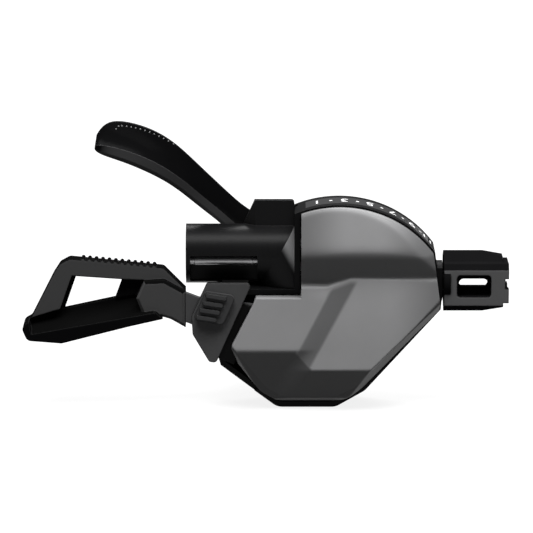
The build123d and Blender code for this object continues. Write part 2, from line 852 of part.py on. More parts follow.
# Bright cross pin in the ears of the bracket, thicker between them
with BuildPart() as bracket_pin:
    with BuildSketch(across(boss_left)):
        with Locations(bracket_pin_place):
            Circle(bracket_pin_r)
    extrude(amount=recess_right + bracket_pin_bite - boss_left)
    with BuildSketch(across(recess_left + sleeve_inset)):
        with Locations(bracket_pin_place):
            Circle(bracket_pin_sleeve_r)
    extrude(amount=recess_right - recess_left - 2 * sleeve_inset)
    chamfer(bracket_pin.edges().filter_by(GeomType.CIRCLE).group_by(Axis.X)[-1], length=bracket_pin_r / 4)
bracket_pin.part.label = "bracket_pin"
export_step(bracket_pin.part, "parts/bracket_pin.step")

# Screws from inside the housing that hold the bracket
with BuildPart() as bracket_screws:
    with BuildSketch(across(notch_x - bracket_screw_length)):
        for screw_z in bracket_screw_zs:
            with Locations((bracket_screw_y, screw_z)):
                Circle(bracket_screw_r)
    extrude(amount=bracket_screw_length + housing_wall)
    with BuildSketch(across(notch_x + housing_wall)):
        for screw_z in bracket_screw_zs:
            with Locations((bracket_screw_y, screw_z)):
                Circle(bracket_screw_head_r)
    extrude(amount=bracket_screw_head_t)
bracket_screws.part.label = "bracket_screws"
export_step(bracket_screws.part, "parts/bracket_screws.step")

# Steel base plate on the posts of the housing
with BuildPart() as base_plate:
    with BuildSketch(front(base_back)):
        add(disc(base_r, (axle_x, axle_z)))
        add(housing_shape(housing_wall + gap), mode=Mode.INTERSECT)
        add(disc(axle_r, (axle_x, axle_z)), mode=Mode.SUBTRACT)
        add(disc(pawl_pin_r, drum_point(hold_pawl_r, hold_pawl_angle)), mode=Mode.SUBTRACT)
        add(disc(reduction_pin_r, drum_point(reduction_r, reduction_angle)), mode=Mode.SUBTRACT)
    extrude(amount=base_t)
base_plate.part.label = "base_plate"
export_step(base_plate.part, "parts/base_plate.step")

# Main axle through the whole stack, with a groove for its clip
clip_back = lever_front + clip_gap
with BuildPart() as main_axle:
    with BuildSketch(front(housing_back)):
        add(disc(axle_r, (axle_x, axle_z)))
    extrude(amount=clip_back + clip_t + axle_nose - housing_back)
    with BuildSketch(front(clip_back)):
        add(disc(axle_r, (axle_x, axle_z)))
        add(disc(axle_r - clip_groove, (axle_x, axle_z)), mode=Mode.SUBTRACT)
    extrude(amount=clip_t, mode=Mode.SUBTRACT)
main_axle.part.label = "main_axle"
export_step(main_axle.part, "parts/main_axle.step")

# Retaining clip in the groove of the axle
with BuildPart() as axle_clip:
    with BuildSketch(front(clip_back)):
        add(disc(clip_r, (axle_x, axle_z)))
        add(disc(axle_r - clip_groove, (axle_x, axle_z)), mode=Mode.SUBTRACT)
        add(spoke(0.0, 2 * clip_r, clip_mouth_angle, axle_r), mode=Mode.SUBTRACT)
    extrude(amount=clip_t)
axle_clip.part.label = "axle_clip"
export_step(axle_clip.part, "parts/axle_clip.step")

# Cable spool: grooved drum with a spring well in front and the first display gear behind
with BuildPart() as cable_spool:
    with BuildSketch(front(spool_back)):
        add(disc(flange_r, (axle_x, axle_z)))
    extrude(amount=flange_t)
    with BuildSketch(front(spool_back + flange_t)):
        add(disc(groove_r, (axle_x, axle_z)))
    extrude(amount=groove_w)
    with BuildSketch(front(spool_front - flange_t)):
        add(disc(flange_r, (axle_x, axle_z)))
    extrude(amount=flange_t)
    with BuildSketch(front(spool_back + 2 * flange_t)):
        add(disc(spring_well_r, (axle_x, axle_z)))
        add(disc(spool_hub_r, (axle_x, axle_z)), mode=Mode.SUBTRACT)
    extrude(amount=spool_front, mode=Mode.SUBTRACT)
    with BuildSketch(front(spool_front)):
        add(disc(spool_hub_r, (axle_x, axle_z)))
    extrude(amount=ratchet_t)
    with BuildSketch(front(gear_back)):
        with Locations((axle_x, axle_z)):
            add(gear_shape(spool_gear_teeth, reduction_angle))
    extrude(amount=gear_t)
    with BuildSketch(front(gear_front)):
        add(disc(gear_module * (spool_gear_teeth / 2 - gear_root), (axle_x, axle_z)))
    extrude(amount=gap)
    with BuildSketch(front(gear_back)):
        add(disc(axle_r + running, (axle_x, axle_z)))
    extrude(amount=ratchet_front - gear_back, mode=Mode.SUBTRACT)
    with BuildSketch(front(spool_back)):
        add(disc(nipple_r, drum_point(nipple_place_r, nipple_angle)))
    extrude(amount=flange_t + groove_w, mode=Mode.SUBTRACT)
cable_spool.part.label = "cable_spool"
export_step(cable_spool.part, "parts/cable_spool.step")

# Ratchet wheel with saw teeth, one for each shift and more, seated on the hub of the spool
tooth_pitch = 360.0 / ratchet_teeth
with BuildPart() as ratchet_wheel:
    with BuildSketch(front(spool_front)):
        saw_points = []
        for tooth in range(ratchet_teeth):
            saw_points.append(drum_point(ratchet_root_r, tooth * tooth_pitch))
            saw_points.append(drum_point(ratchet_tip_r, tooth * tooth_pitch))
        Polygon(*saw_points, align=None)
        add(disc(spool_hub_r, (axle_x, axle_z)), mode=Mode.SUBTRACT)
    extrude(amount=ratchet_t)
ratchet_wheel.part.label = "ratchet_wheel"
export_step(ratchet_wheel.part, "parts/ratchet_wheel.step")

# Return spring of the spool: a flat spiral in the well
with BuildPart() as spool_spring:
    with BuildSketch(front(spool_back + 2 * flange_t + seat_gap)):
        spiral_in = []
        spiral_out = []
        spiral_rise = spring_well_r - spool_hub_r - 2 * gap - spiral_t
        for step in range(spiral_steps + 1):
            turn = step / spiral_steps
            spiral_r = spool_hub_r + gap + spiral_rise * turn
            spiral_in.append(drum_point(spiral_r, 360.0 * spiral_turns * turn))
            spiral_out.append(drum_point(spiral_r + spiral_t, 360.0 * spiral_turns * turn))
        Polygon(*spiral_out, *reversed(spiral_in), align=None)
    extrude(amount=groove_w - 2 * seat_gap)
spool_spring.part.label = "spool_spring"
export_step(spool_spring.part, "parts/spool_spring.step")

# Hold pawl, which keeps the spool from unwinding, on its stepped pin
with BuildPart() as hold_pawl:
    with BuildSketch(front(spool_front + seat_gap)):
        add(pawl_shape(hold_pawl_r, hold_pawl_angle, hold_pawl_reach))
    extrude(amount=ratchet_t - 2 * seat_gap)
hold_pawl.part.label = "hold_pawl"
export_step(hold_pawl.part, "parts/hold_pawl.step")

with BuildPart() as hold_pawl_pin:
    with BuildSketch(front(base_back)):
        add(disc(pawl_pin_r, drum_point(hold_pawl_r, hold_pawl_angle)))
    extrude(amount=ratchet_front - base_back)
    with BuildSketch(front(base_front)):
        add(disc(pawl_pin_r + pawl_pin_step, drum_point(hold_pawl_r, hold_pawl_angle)))
    extrude(amount=spool_front - base_front)
hold_pawl_pin.part.label = "hold_pawl_pin"
export_step(hold_pawl_pin.part, "parts/hold_pawl_pin.step")

# Feed pawl, which the main lever carries round to wind the spool
with BuildPart() as feed_pawl:
    with BuildSketch(front(spool_front + seat_gap)):
        add(pawl_shape(feed_pawl_r, feed_pawl_angle, feed_pawl_reach))
    extrude(amount=ratchet_t - 2 * seat_gap)
feed_pawl.part.label = "feed_pawl"
export_step(feed_pawl.part, "parts/feed_pawl.step")

with BuildPart() as feed_pawl_pin:
    with BuildSketch(front(spool_front)):
        add(disc(pawl_pin_r, drum_point(feed_pawl_r, feed_pawl_angle)))
    extrude(amount=lever_front - spool_front)
    with BuildSketch(front(ratchet_front)):
        add(disc(pawl_pin_r + pawl_pin_step, drum_point(feed_pawl_r, feed_pawl_angle)))
    extrude(amount=pass_gap)
feed_pawl_pin.part.label = "feed_pawl_pin"
export_step(feed_pawl_pin.part, "parts/feed_pawl_pin.step")

# Two-step reduction gear of the display, on a pin in the base plate
reduction_place = drum_point(reduction_r, reduction_angle)
wheel_phase = reduction_angle + 180.0 + 180.0 / wheel_teeth
pinion_phase = reduction_angle + 180.0 + 180.0 / pinion_teeth
with BuildPart() as reduction_gear:
    with BuildSketch(front(gear_back)):
        with Locations(reduction_place):
            add(gear_shape(wheel_teeth, wheel_phase))
    extrude(amount=gear_t)
    with BuildSketch(front(needle_back)):
        with Locations(reduction_place):
            add(gear_shape(pinion_teeth, pinion_phase))
    extrude(amount=needle_t)
    with BuildSketch(front(needle_front)):
        add(disc(gear_module * (pinion_teeth / 2 - gear_root), reduction_place))
    extrude(amount=gap)
    with BuildSketch(front(needle_back)):
        add(disc(reduction_pin_r + running, reduction_place))
    extrude(amount=gear_front - needle_back, mode=Mode.SUBTRACT)
reduction_gear.part.label = "reduction_gear"
export_step(reduction_gear.part, "parts/reduction_gear.step")

with BuildPart() as reduction_pin:
    with BuildSketch(front(base_back)):
        add(disc(reduction_pin_r, reduction_place))
    extrude(amount=gear_front - base_back)
reduction_pin.part.label = "reduction_pin"
export_step(reduction_pin.part, "parts/reduction_pin.step")

# Indicator needle: a geared disc with a bent arm that reaches round the dial strip
riser_back = window_front + pass_gap
with BuildPart() as indicator_needle:
    with BuildSketch(front(needle_back)):
        with Locations((axle_x, axle_z)):
            add(gear_shape(needle_gear_teeth, reduction_angle))
        add(spoke(axle_r + needle_w, needle_bridge_r + needle_t, needle_rest, needle_w))
        add(disc(axle_r + running, (axle_x, axle_z)), mode=Mode.SUBTRACT)
    extrude(amount=needle_t)
    with BuildSketch(front(needle_back)):
        add(spoke(needle_bridge_r, needle_bridge_r + needle_t, needle_rest, needle_w))
    extrude(amount=riser_back + needle_t - needle_back)
    with BuildSketch(front(riser_back)):
        add(spoke(needle_bridge_r, pointer_r + pointer_t, needle_rest, pointer_w))
    extrude(amount=needle_t)
    with BuildSketch(front(window_back + pass_gap)):
        add(spoke(pointer_r, pointer_r + pointer_t, needle_rest, pointer_w))
    extrude(amount=riser_back - window_back)
indicator_needle.part.label = "indicator_needle"
export_step(indicator_needle.part, "parts/indicator_needle.step")

# Dial strip with the gear numbers, standing on the back wall under the window
with BuildPart() as dial_strip:
    with BuildSketch(front(inner_back)):
        add(sector(dial_r, dial_r + dial_t, window_start, window_end))
    extrude(amount=window_front - inner_back)
dial_strip.part.label = "dial_strip"
export_step(dial_strip.part, "parts/dial_strip.step")

# Clear window in the drum wall, with a lip behind the opening
drum_inner_r = drum_r - housing_wall
lip_turn = degrees(window_lip / drum_r)
pane_turn = degrees(seat_gap / drum_r)
with BuildPart() as display_window:
    with BuildSketch(front(window_back + seat_gap)):
        add(sector(drum_inner_r - seat_gap, drum_r, window_start + pane_turn, window_end - pane_turn))
    extrude(amount=window_front - window_back - 2 * seat_gap)
    with BuildSketch(front(window_back - window_lip)):
        add(sector(drum_inner_r - seat_gap - window_lip_t, drum_inner_r - seat_gap,
                   window_start - lip_turn, window_end + lip_turn))
    extrude(amount=window_front - window_back + 2 * window_lip)
display_window.part.label = "display_window"
export_step(display_window.part, "parts/display_window.step")

# Release lever: flat arm on the main axle, a finger to the hold pawl and a lofted finger blade
blade_root = blade_stations[-1]
arm_reach = hypot((blade_root[0][0] + blade_root[1][0]) / 2 - axle_x,
                  (blade_root[0][1] + blade_root[1][1]) / 2 - axle_z)
with BuildPart() as release_lever:
    with BuildSketch(front(release_back)):
        add(disc(release_hub_r, (axle_x, axle_z)))
        add(spoke(0.0, arm_reach + release_arm_w / 4, release_angle, release_arm_w))
        add(spoke(0.0, finger_place_r, finger_angle, finger_arm_w))
        add(spoke(0.0, release_tab_r, release_tab_angle, release_tab_w))
        add(disc(finger_arm_w / 2, drum_point(finger_place_r, finger_angle)))
        add(disc(axle_r + running, (axle_x, axle_z)), mode=Mode.SUBTRACT)
    extrude(amount=release_t)
    with BuildSketch(front(release_back)):
        add(disc(finger_r, drum_point(finger_place_r, finger_angle)))
    extrude(amount=ratchet_front - release_back)
    for upper, lower, blade_front, blade_back, blade_hollow in blade_stations:
        height = hypot(upper[0] - lower[0], upper[1] - lower[1])
        rise = Vector((upper[0] - lower[0]) / height, 0, (upper[1] - lower[1]) / height)
        depth = blade_front - blade_back
        along_blade = rise.cross(Vector(0, -1, 0))
        with BuildSketch(Plane((lower[0], -blade_back, lower[1]), x_dir=rise, z_dir=along_blade)):
            with BuildLine():
                Polyline((height, blade_edge * depth), (height, 0), (blade_edge * height, 0),
                         (0, blade_edge * depth), (0, (1 - blade_edge) * depth),
                         (blade_edge * height, depth), (blade_shoulder * height, depth))
                ThreePointArc((blade_shoulder * height, depth),
                              (blade_middle * height, blade_hollow * depth),
                              (height, blade_edge * depth))
            make_face()
    loft()
release_lever.part.label = "release_lever"
export_step(release_lever.part, "parts/release_lever.step")

# Hairpin spring that centres the release lever, round a post of the housing
with BuildPart() as release_spring:
    with BuildSketch(front(release_back + seat_gap)):
        with Locations(Location((axle_x, axle_z, 0), (0, 0, release_tab_angle))):
            leg_offset = release_tab_w / 2 + gap + spring_wire / 2
            with Locations(((hairpin_start + hairpin_end) / 2, leg_offset),
                           ((hairpin_start + hairpin_end) / 2, -leg_offset)):
                Rectangle(hairpin_end - hairpin_start, spring_wire)
            with Locations((hairpin_end, 0)):
                Circle(leg_offset + spring_wire / 2)
                Circle(leg_offset - spring_wire / 2, mode=Mode.SUBTRACT)
            with Locations((hairpin_end - leg_offset, 0)):
                Rectangle(2 * leg_offset, 2 * leg_offset - spring_wire, mode=Mode.SUBTRACT)
    extrude(amount=release_t - 2 * seat_gap)
release_spring.part.label = "release_spring"
export_step(release_spring.part, "parts/release_spring.step")

# Main lever: pressed steel arm on the main axle
with BuildPart() as main_lever:
    with BuildSketch(front(lever_back)):
        add(disc(lever_hub_r, (axle_x, axle_z)))
        Polygon((axle_x, axle_z + lever_hub_r), (arm_inner_x, arm_top_inner), (arm_bend_x, arm_bend_top),
                (arm_end, arm_top_outer), (arm_end, arm_bottom_outer), (arm_bend_x, arm_bend_bottom),
                (axle_x, axle_z - lever_hub_r), align=None)
        add(disc(axle_r + running, (axle_x, axle_z)), mode=Mode.SUBTRACT)
        add(disc(pawl_pin_r, drum_point(feed_pawl_r, feed_pawl_angle)), mode=Mode.SUBTRACT)
    extrude(amount=lever_t)
main_lever.part.label = "main_lever"
export_step(main_lever.part, "parts/main_lever.step")

# Return spring of the main lever, round the clip, with one leg on the arm and one at a boss
with BuildPart() as main_lever_spring:
    with BuildSketch(front(lever_front + seat_gap)):
        add(disc(clip_r + gap + spring_wire, (axle_x, axle_z)))
        add(spoke(clip_r + gap, lever_spring_reach, lever_spring_arm_angle, spring_wire))
        add(spoke(clip_r + gap, lever_spring_reach, lever_spring_boss_angle, spring_wire))
        add(disc(clip_r + gap, (axle_x, axle_z)), mode=Mode.SUBTRACT)
    extrude(amount=spring_wire)
main_lever_spring.part.label = "main_lever_spring"
export_step(main_lever_spring.part, "parts/main_lever_spring.step")

# Outline of the thumb pad, seen from the front
with BuildSketch() as pad_outline:
    Polygon((pad_right, pad_heel_z), (pad_right, pad_top_right_z), pad_top_right, pad_top_left,
            pad_crown, pad_shoulder, pad_strut_foot, pad_tip, pad_tip_low, pad_low, pad_waist,
            pad_waist_right, align=None)
    fillet(pad_outline.vertices().group_by(Axis.X)[:-1], radius=pad_round)

# Hollow of the thumb rest: an arched trough that leaves a rim along the lower front edge
rim_line = Vector(scoop_rim_right[0] - scoop_rim_left[0], 0, scoop_rim_right[1] - scoop_rim_left[1])
rim_start = Vector(scoop_rim_left[0], -pad_front, scoop_rim_left[1])
with BuildPart() as scoop_room:
    with BuildSketch(Plane(rim_start, x_dir=(0, 1, 0), z_dir=rim_line)):
        with BuildLine():
            ThreePointArc((0, 0), (scoop_knee, scoop_rim_sag), (scoop_depth, scoop_reach))
            Polyline((scoop_depth, scoop_reach), (0, scoop_reach), (0, 0))
        make_face()
    extrude(amount=rim_line.length + pad_round)

# Thumb pad: frame with a serrated top edge and an opening, scooped thumb rest, flat arm face
with BuildPart() as thumb_pad:
    with BuildSketch(front(pad_back)):
        Polygon(pad_tip, *scoop_corners, scoop_rim_right, pad_waist_right, pad_waist, pad_low,
                pad_tip_low, align=None)
        add(pad_outline.sketch, mode=Mode.INTERSECT)
    extrude(amount=pad_front - pad_back)
    add(scoop_room.part, mode=Mode.SUBTRACT)
    with BuildSketch(front(pad_back)):
        add(pad_outline.sketch)
        Polygon(pad_tip, *scoop_corners, scoop_rim_right, pad_waist_right, pad_waist, pad_low,
                pad_tip_low, align=None, mode=Mode.SUBTRACT)
    extrude(amount=pad_frame_front - pad_back)
    with BuildSketch(front(pad_back)):
        Polygon(*arm_face_corners, align=None)
    extrude(amount=arm_face_front - arm_face_bevel - pad_back)
    with BuildSketch(front(arm_face_front - arm_face_bevel)):
        Polygon(*arm_face_corners, align=None)
    extrude(amount=arm_face_bevel, taper=arm_face_taper)
    with BuildSketch(front(pad_frame_front - step_drop)):
        Polygon((step_left, opening_corners[2][1]), (arm_face_corners[1][0], arm_face_corners[1][1]),
                arm_face_corners[0], scoop_corners[2], align=None)
    extrude(amount=step_drop, mode=Mode.SUBTRACT)
    with BuildSketch(front(pad_back)):
        Polygon(*opening_corners, align=None)
    with BuildSketch(front(pad_front)):
        Polygon((opening_corners[0][0] - opening_flare, opening_corners[0][1]),
                (opening_corners[1][0] - opening_flare, opening_corners[1][1]),
                opening_corners[2], opening_corners[3], align=None)
    loft(ruled=True, mode=Mode.SUBTRACT)
    with BuildSketch(front(lever_back)):
        Polygon((arm_bend_x, arm_bend_top), (arm_end, arm_top_outer), (arm_end, arm_bottom_outer),
                (arm_bend_x, arm_bend_bottom), align=None)
    extrude(amount=lever_t, mode=Mode.SUBTRACT)
    with BuildSketch(front(pad_back)):
        for tooth in range(serration_count):
            share = (tooth + 0.5) / serration_count
            tooth_x = pad_serration_start + share * (pad_top_right[0] - pad_round - pad_serration_start)
            slope = (pad_top_right[1] - pad_top_left[1]) / (pad_top_right[0] - pad_top_left[0])
            with Locations((tooth_x, pad_top_left[1] + slope * (tooth_x - pad_top_left[0]))):
                Circle(serration_r)
    extrude(amount=pad_frame_front - pad_back)
thumb_pad.part.label = "thumb_pad"
export_step(thumb_pad.part, "parts/thumb_pad.step")

# Side plate: seated on the ledge of the housing, with a tongue under the edge of the cover
plate_edge = Vector(plate_toe_right[0] - plate_top_right, plate_toe_right[1] - plate_top).normalized()
plate_side = Vector(-plate_edge.Y, plate_edge.X) * tongue_reach
tongue_top = Vector(plate_top_right, plate_top) + plate_edge * tongue_start
tongue_foot = Vector(plate_toe_right[0], plate_toe_right[1]) - plate_edge * tongue_foot_inset
door_along = Vector(cos(radians(door_fall)), sin(radians(door_fall)))
door_a = Vector(door_corner[0], door_corner[1])
door_b = door_a + door_along * door_w
door_c = door_b + plate_edge * door_h
door_d = door_a + plate_edge * door_h
door_middle = Vector((door_a.X + door_c.X) / 2, (door_a.Y + door_c.Y) / 2)
door_tilt = -degrees(atan2(-plate_edge.X, -plate_edge.Y))
door_place = Location((door_middle.X, door_middle.Y, 0), (0, 0, door_tilt))
with BuildPart() as side_plate:
    with BuildSketch(front(side_plate_back)) as plate_outline:
        Polygon((plate_top_left, plate_top), (plate_top_right, plate_top), plate_toe_right,
                plate_toe_left, plate_hip, plate_waist, align=None)
        fillet(plate_outline.vertices(), radius=plate_round)
    extrude(amount=side_plate_t)
    with BuildSketch(front(side_plate_back)):
        Polygon((tongue_top.X, tongue_top.Y), (tongue_foot.X, tongue_foot.Y),
                (tongue_foot.X + plate_side.X, tongue_foot.Y + plate_side.Y),
                (tongue_top.X + plate_side.X, tongue_top.Y + plate_side.Y), align=None)
    extrude(amount=tongue_t)
    with BuildSketch(front(rim)):
        skirt_left = tail_x + housing_wall
        skirt_right = plate_top_right - plate_round
        with Locations(((skirt_left + skirt_right) / 2, (plate_top + ledge_z - skirt_seat) / 2)):
            Rectangle(skirt_right - skirt_left, plate_top - ledge_z + skirt_seat)
    extrude(amount=side_plate_back - rim)
    with BuildSketch(front(side_plate_back)):
        with Locations(door_place):
            with Locations((0, door_tongue_rise - door_slide / 2)):
                Rectangle(door_tongue_w + 2 * running, door_tongue_h + door_slide + 2 * running)
    extrude(amount=side_plate_t, mode=Mode.SUBTRACT)
side_plate.part.label = "side_plate"
export_step(side_plate.part, "parts/side_plate.step")

# Cable-port door: ribbed slide on the side plate, guided by a tongue in its slot
with BuildPart() as cable_port_door:
    with BuildSketch(front(side_plate_front + seat_gap)) as door_outline:
        Polygon((door_a.X, door_a.Y), (door_b.X, door_b.Y), (door_c.X, door_c.Y), (door_d.X, door_d.Y),
                align=None)
        fillet(door_outline.vertices(), radius=door_round)
    extrude(amount=door_t)
    with BuildSketch(front(side_plate_front - door_tongue_t)):
        with Locations(door_place):
            with Locations((0, door_tongue_rise)):
                Rectangle(door_tongue_w, door_tongue_h)
    extrude(amount=door_tongue_t + seat_gap)
    with BuildSketch(front(side_plate_front + seat_gap + door_t)):
        for rib in range(rib_count):
            rib_middle = door_a + plate_edge * (door_h * (rib + 0.5) / rib_count)
            rib_middle = rib_middle + door_along * (rib_inset + rib_length / 2)
            with Locations(Location((rib_middle.X, rib_middle.Y, 0), (0, 0, door_fall))):
                SlotOverall(rib_length, rib_w)
    extrude(amount=rib_h)
cable_port_door.part.label = "cable_port_door"
export_step(cable_port_door.part, "parts/cable_port_door.step")

# Hollow stem for the barrel adjuster, held in the right wall by its collar
stem_start = wall_x - housing_wall - stem_inside
stem_end = adjuster_start + adjuster_thread_depth
with BuildPart() as adjuster_stem:
    with BuildSketch(across(stem_start)):
        with Locations((-cable_depth, cable_z)):
            Circle(stem_r)
    extrude(amount=stem_end - stem_start)
    with BuildSketch(across(wall_x - housing_wall - stem_collar_t - stem_collar_gap)):
        with Locations((-cable_depth, cable_z)):
            Circle(stem_collar_r)
    extrude(amount=stem_collar_t)
    with BuildSketch(across(stem_start)):
        with Locations((-cable_depth, cable_z)):
            Circle(stem_bore_r)
    extrude(amount=stem_end - stem_start, mode=Mode.SUBTRACT)
adjuster_stem.part.label = "adjuster_stem"
export_step(adjuster_stem.part, "parts/adjuster_stem.step")

# Barrel adjuster: winged body with a pocket on each side, a through slot and the casing socket
adjuster_end = adjuster_start + adjuster_length
wing_end = adjuster_start + adjuster_wing_length
shoulder_end = adjuster_end - adjuster_shoulder
pocket_x = adjuster_start + adjuster_pocket_start + adjuster_pocket_length / 2
pocket_z = (adjuster_pocket_top + adjuster_pocket_foot) / 2
pocket_h = adjuster_pocket_top - adjuster_pocket_foot
with BuildPart() as barrel_adjuster:
    with BuildSketch(across(adjuster_start)):
        with Locations((-cable_depth, cable_z)):
            Polygon(*((-depth, height) for depth, height in pinwheel),
                    *((depth, -height) for depth, height in pinwheel), align=None)
    extrude(amount=adjuster_length)
    with BuildSketch(front(cable_depth - adjuster_wing_r)):
        with Locations((0, cable_z)):
            Polygon((adjuster_start, adjuster_wing_r), (wing_end, adjuster_wing_r),
                    (shoulder_end, adjuster_shoulder_r), (shoulder_end, adjuster_end_r),
                    (adjuster_end, adjuster_end_r), (adjuster_end, -adjuster_end_r),
                    (shoulder_end, -adjuster_end_r), (shoulder_end, -adjuster_shoulder_r),
                    (wing_end, -adjuster_wing_r), (adjuster_start, -adjuster_wing_r), align=None)
    extrude(amount=2 * adjuster_wing_r, mode=Mode.INTERSECT)
    with BuildSketch(across(adjuster_start)):
        with Locations((-cable_depth, cable_z)):
            Circle(adjuster_collar_r)
    extrude(amount=adjuster_collar_length)
    with BuildSketch(front(cable_depth + adjuster_web / 2)):
        with Locations((pocket_x, cable_z + pocket_z)):
            RectangleRounded(adjuster_pocket_length, pocket_h, adjuster_pocket_round)
    extrude(amount=adjuster_wing_r, mode=Mode.SUBTRACT)
    with BuildSketch(front(cable_depth - adjuster_web / 2)):
        with Locations((pocket_x, cable_z - pocket_z)):
            RectangleRounded(adjuster_pocket_length, pocket_h, adjuster_pocket_round)
    extrude(amount=-adjuster_wing_r, mode=Mode.SUBTRACT)
    with BuildSketch(front(cable_depth - adjuster_web)):
        with Locations((pocket_x, cable_z - adjuster_slot_drop)):
            SlotOverall(adjuster_slot_length, adjuster_slot_w)
    extrude(amount=2 * adjuster_web, mode=Mode.SUBTRACT)
    with BuildSketch(front(cable_depth - adjuster_wing_r)):
        with Locations((adjuster_end - adjuster_notch / 2, cable_z)):
            Rectangle(adjuster_notch, adjuster_notch_w)
    extrude(amount=2 * adjuster_wing_r, mode=Mode.SUBTRACT)
    with BuildSketch(across(adjuster_start)):
        with Locations((-cable_depth, cable_z)):
            Circle(stem_r + running)
    extrude(amount=adjuster_thread_depth + running, mode=Mode.SUBTRACT)
    with BuildSketch(across(adjuster_start)):
        with Locations((-cable_depth, cable_z)):
            Circle(cable_hole_r)
    extrude(amount=adjuster_length, mode=Mode.SUBTRACT)
    with BuildSketch(across(adjuster_end)):
        with Locations((-cable_depth, cable_z)):
            Circle(casing_r)
    extrude(amount=-casing_depth, mode=Mode.SUBTRACT)
barrel_adjuster.part.label = "barrel_adjuster"
export_step(barrel_adjuster.part, "parts/barrel_adjuster.step")
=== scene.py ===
import json
import math

import bmesh
import bpy
import numpy as np
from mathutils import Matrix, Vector


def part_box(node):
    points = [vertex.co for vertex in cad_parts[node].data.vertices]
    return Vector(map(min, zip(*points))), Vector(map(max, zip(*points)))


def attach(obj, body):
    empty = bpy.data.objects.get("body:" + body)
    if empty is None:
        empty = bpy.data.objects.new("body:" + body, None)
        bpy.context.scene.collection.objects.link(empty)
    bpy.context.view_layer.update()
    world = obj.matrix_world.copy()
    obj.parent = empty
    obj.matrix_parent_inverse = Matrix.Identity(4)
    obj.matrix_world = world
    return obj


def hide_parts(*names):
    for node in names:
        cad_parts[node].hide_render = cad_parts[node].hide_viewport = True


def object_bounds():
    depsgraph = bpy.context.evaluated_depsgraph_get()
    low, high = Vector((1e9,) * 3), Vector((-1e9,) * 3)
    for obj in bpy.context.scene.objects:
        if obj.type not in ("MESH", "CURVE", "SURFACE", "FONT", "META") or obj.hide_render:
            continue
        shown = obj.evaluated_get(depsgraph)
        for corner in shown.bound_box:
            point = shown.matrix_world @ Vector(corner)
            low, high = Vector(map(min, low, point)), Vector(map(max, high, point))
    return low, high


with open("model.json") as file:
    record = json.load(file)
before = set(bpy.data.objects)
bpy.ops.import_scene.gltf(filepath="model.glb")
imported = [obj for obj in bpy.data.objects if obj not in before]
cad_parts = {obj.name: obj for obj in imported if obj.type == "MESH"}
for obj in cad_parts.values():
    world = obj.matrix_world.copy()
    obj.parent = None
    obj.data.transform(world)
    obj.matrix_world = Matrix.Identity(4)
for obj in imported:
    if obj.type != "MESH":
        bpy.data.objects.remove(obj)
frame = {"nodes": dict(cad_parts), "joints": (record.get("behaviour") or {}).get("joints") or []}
cad_low, cad_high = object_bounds()
nodes = frame["nodes"]
joints = {joint["name"]: joint for joint in frame["joints"]}

# Studio sweep and camera
# The shifter stands on a white sweep under a wide overhead softbox, seen from the front
# through a long lens that looks down on it a little.
MM = 0.001
view_target = Vector((-1.75, -22.0, 1.45)) * MM
view_elevation = math.radians(12.5)
view_distance = 0.95
view_width = 136.7 * MM

camera_data = bpy.data.cameras.new("camera")
camera_data.sensor_width = 36.0
camera_data.lens = camera_data.sensor_width * view_distance / view_width
camera = bpy.data.objects.new("camera", camera_data)
back = Vector((0, -math.cos(view_elevation), math.sin(view_elevation)))
camera.location = view_target + back * view_distance
camera.rotation_mode = "QUATERNION"
camera.rotation_quaternion = (-back).to_track_quat("-Z", "Y")
bpy.context.scene.collection.objects.link(camera)
bpy.context.scene.camera = camera
bpy.context.scene.view_settings.view_transform = "Standard"


def grid_mesh(name, x, y, z, wrap=False):
    """Mesh of a surface given as three arrays over a grid of two parameters: each cell becomes a quad,
    and with wrap the second parameter closes on itself."""
    rows, columns = x.shape
    points = np.stack([x, y, z], axis=-1).reshape(-1, 3)
    index = np.arange(rows * columns).reshape(rows, columns)
    if wrap:
        index = np.concatenate([index, index[:, :1]], axis=1)
    quads = np.stack([index[:-1, :-1], index[:-1, 1:], index[1:, 1:], index[1:, :-1]], axis=-1)
    mesh = bpy.data.meshes.new(name)
    mesh.from_pydata(points.tolist(), [], quads.reshape(-1, 4).tolist())
    mesh.shade_smooth()
    return mesh


def piece_from(mesh):
    """Object at the origin that carries a mesh whose place is in its points."""
    piece = bpy.data.objects.new(mesh.name, mesh)
    bpy.context.scene.collection.objects.link(piece)
    return piece


def maths(tree, operation, *values):
    """Output of a Math node: each value is a number or the output that feeds it."""
    node = tree.nodes.new("ShaderNodeMath")
    node.operation = operation
    for socket, value in zip(node.inputs, values):
        if isinstance(value, float):
            socket.default_value = value
        else:
            tree.links.new(value, socket)
    return node.outputs[0]


sweep_radius = 3.0
sweep_rings, sweep_spokes = 12, 96
sweep_bounce = (0.12, 0.12, 0.12, 1)
sweep_seen_white = (0.95, 0.95, 0.95, 1)
sweep_glow_share = 0.86
ring_r, ring_turn = np.meshgrid(
    np.linspace(0.0, sweep_radius, sweep_rings),
    np.linspace(0, 2 * np.pi, sweep_spokes, endpoint=False),
    indexing="ij",
)
sweep = piece_from(
    grid_mesh(
        "studio_sweep",
        ring_r * np.cos(ring_turn),
        ring_r * np.sin(ring_turn),
        np.full_like(ring_r, cad_low.z),
        wrap=True,
    )
)

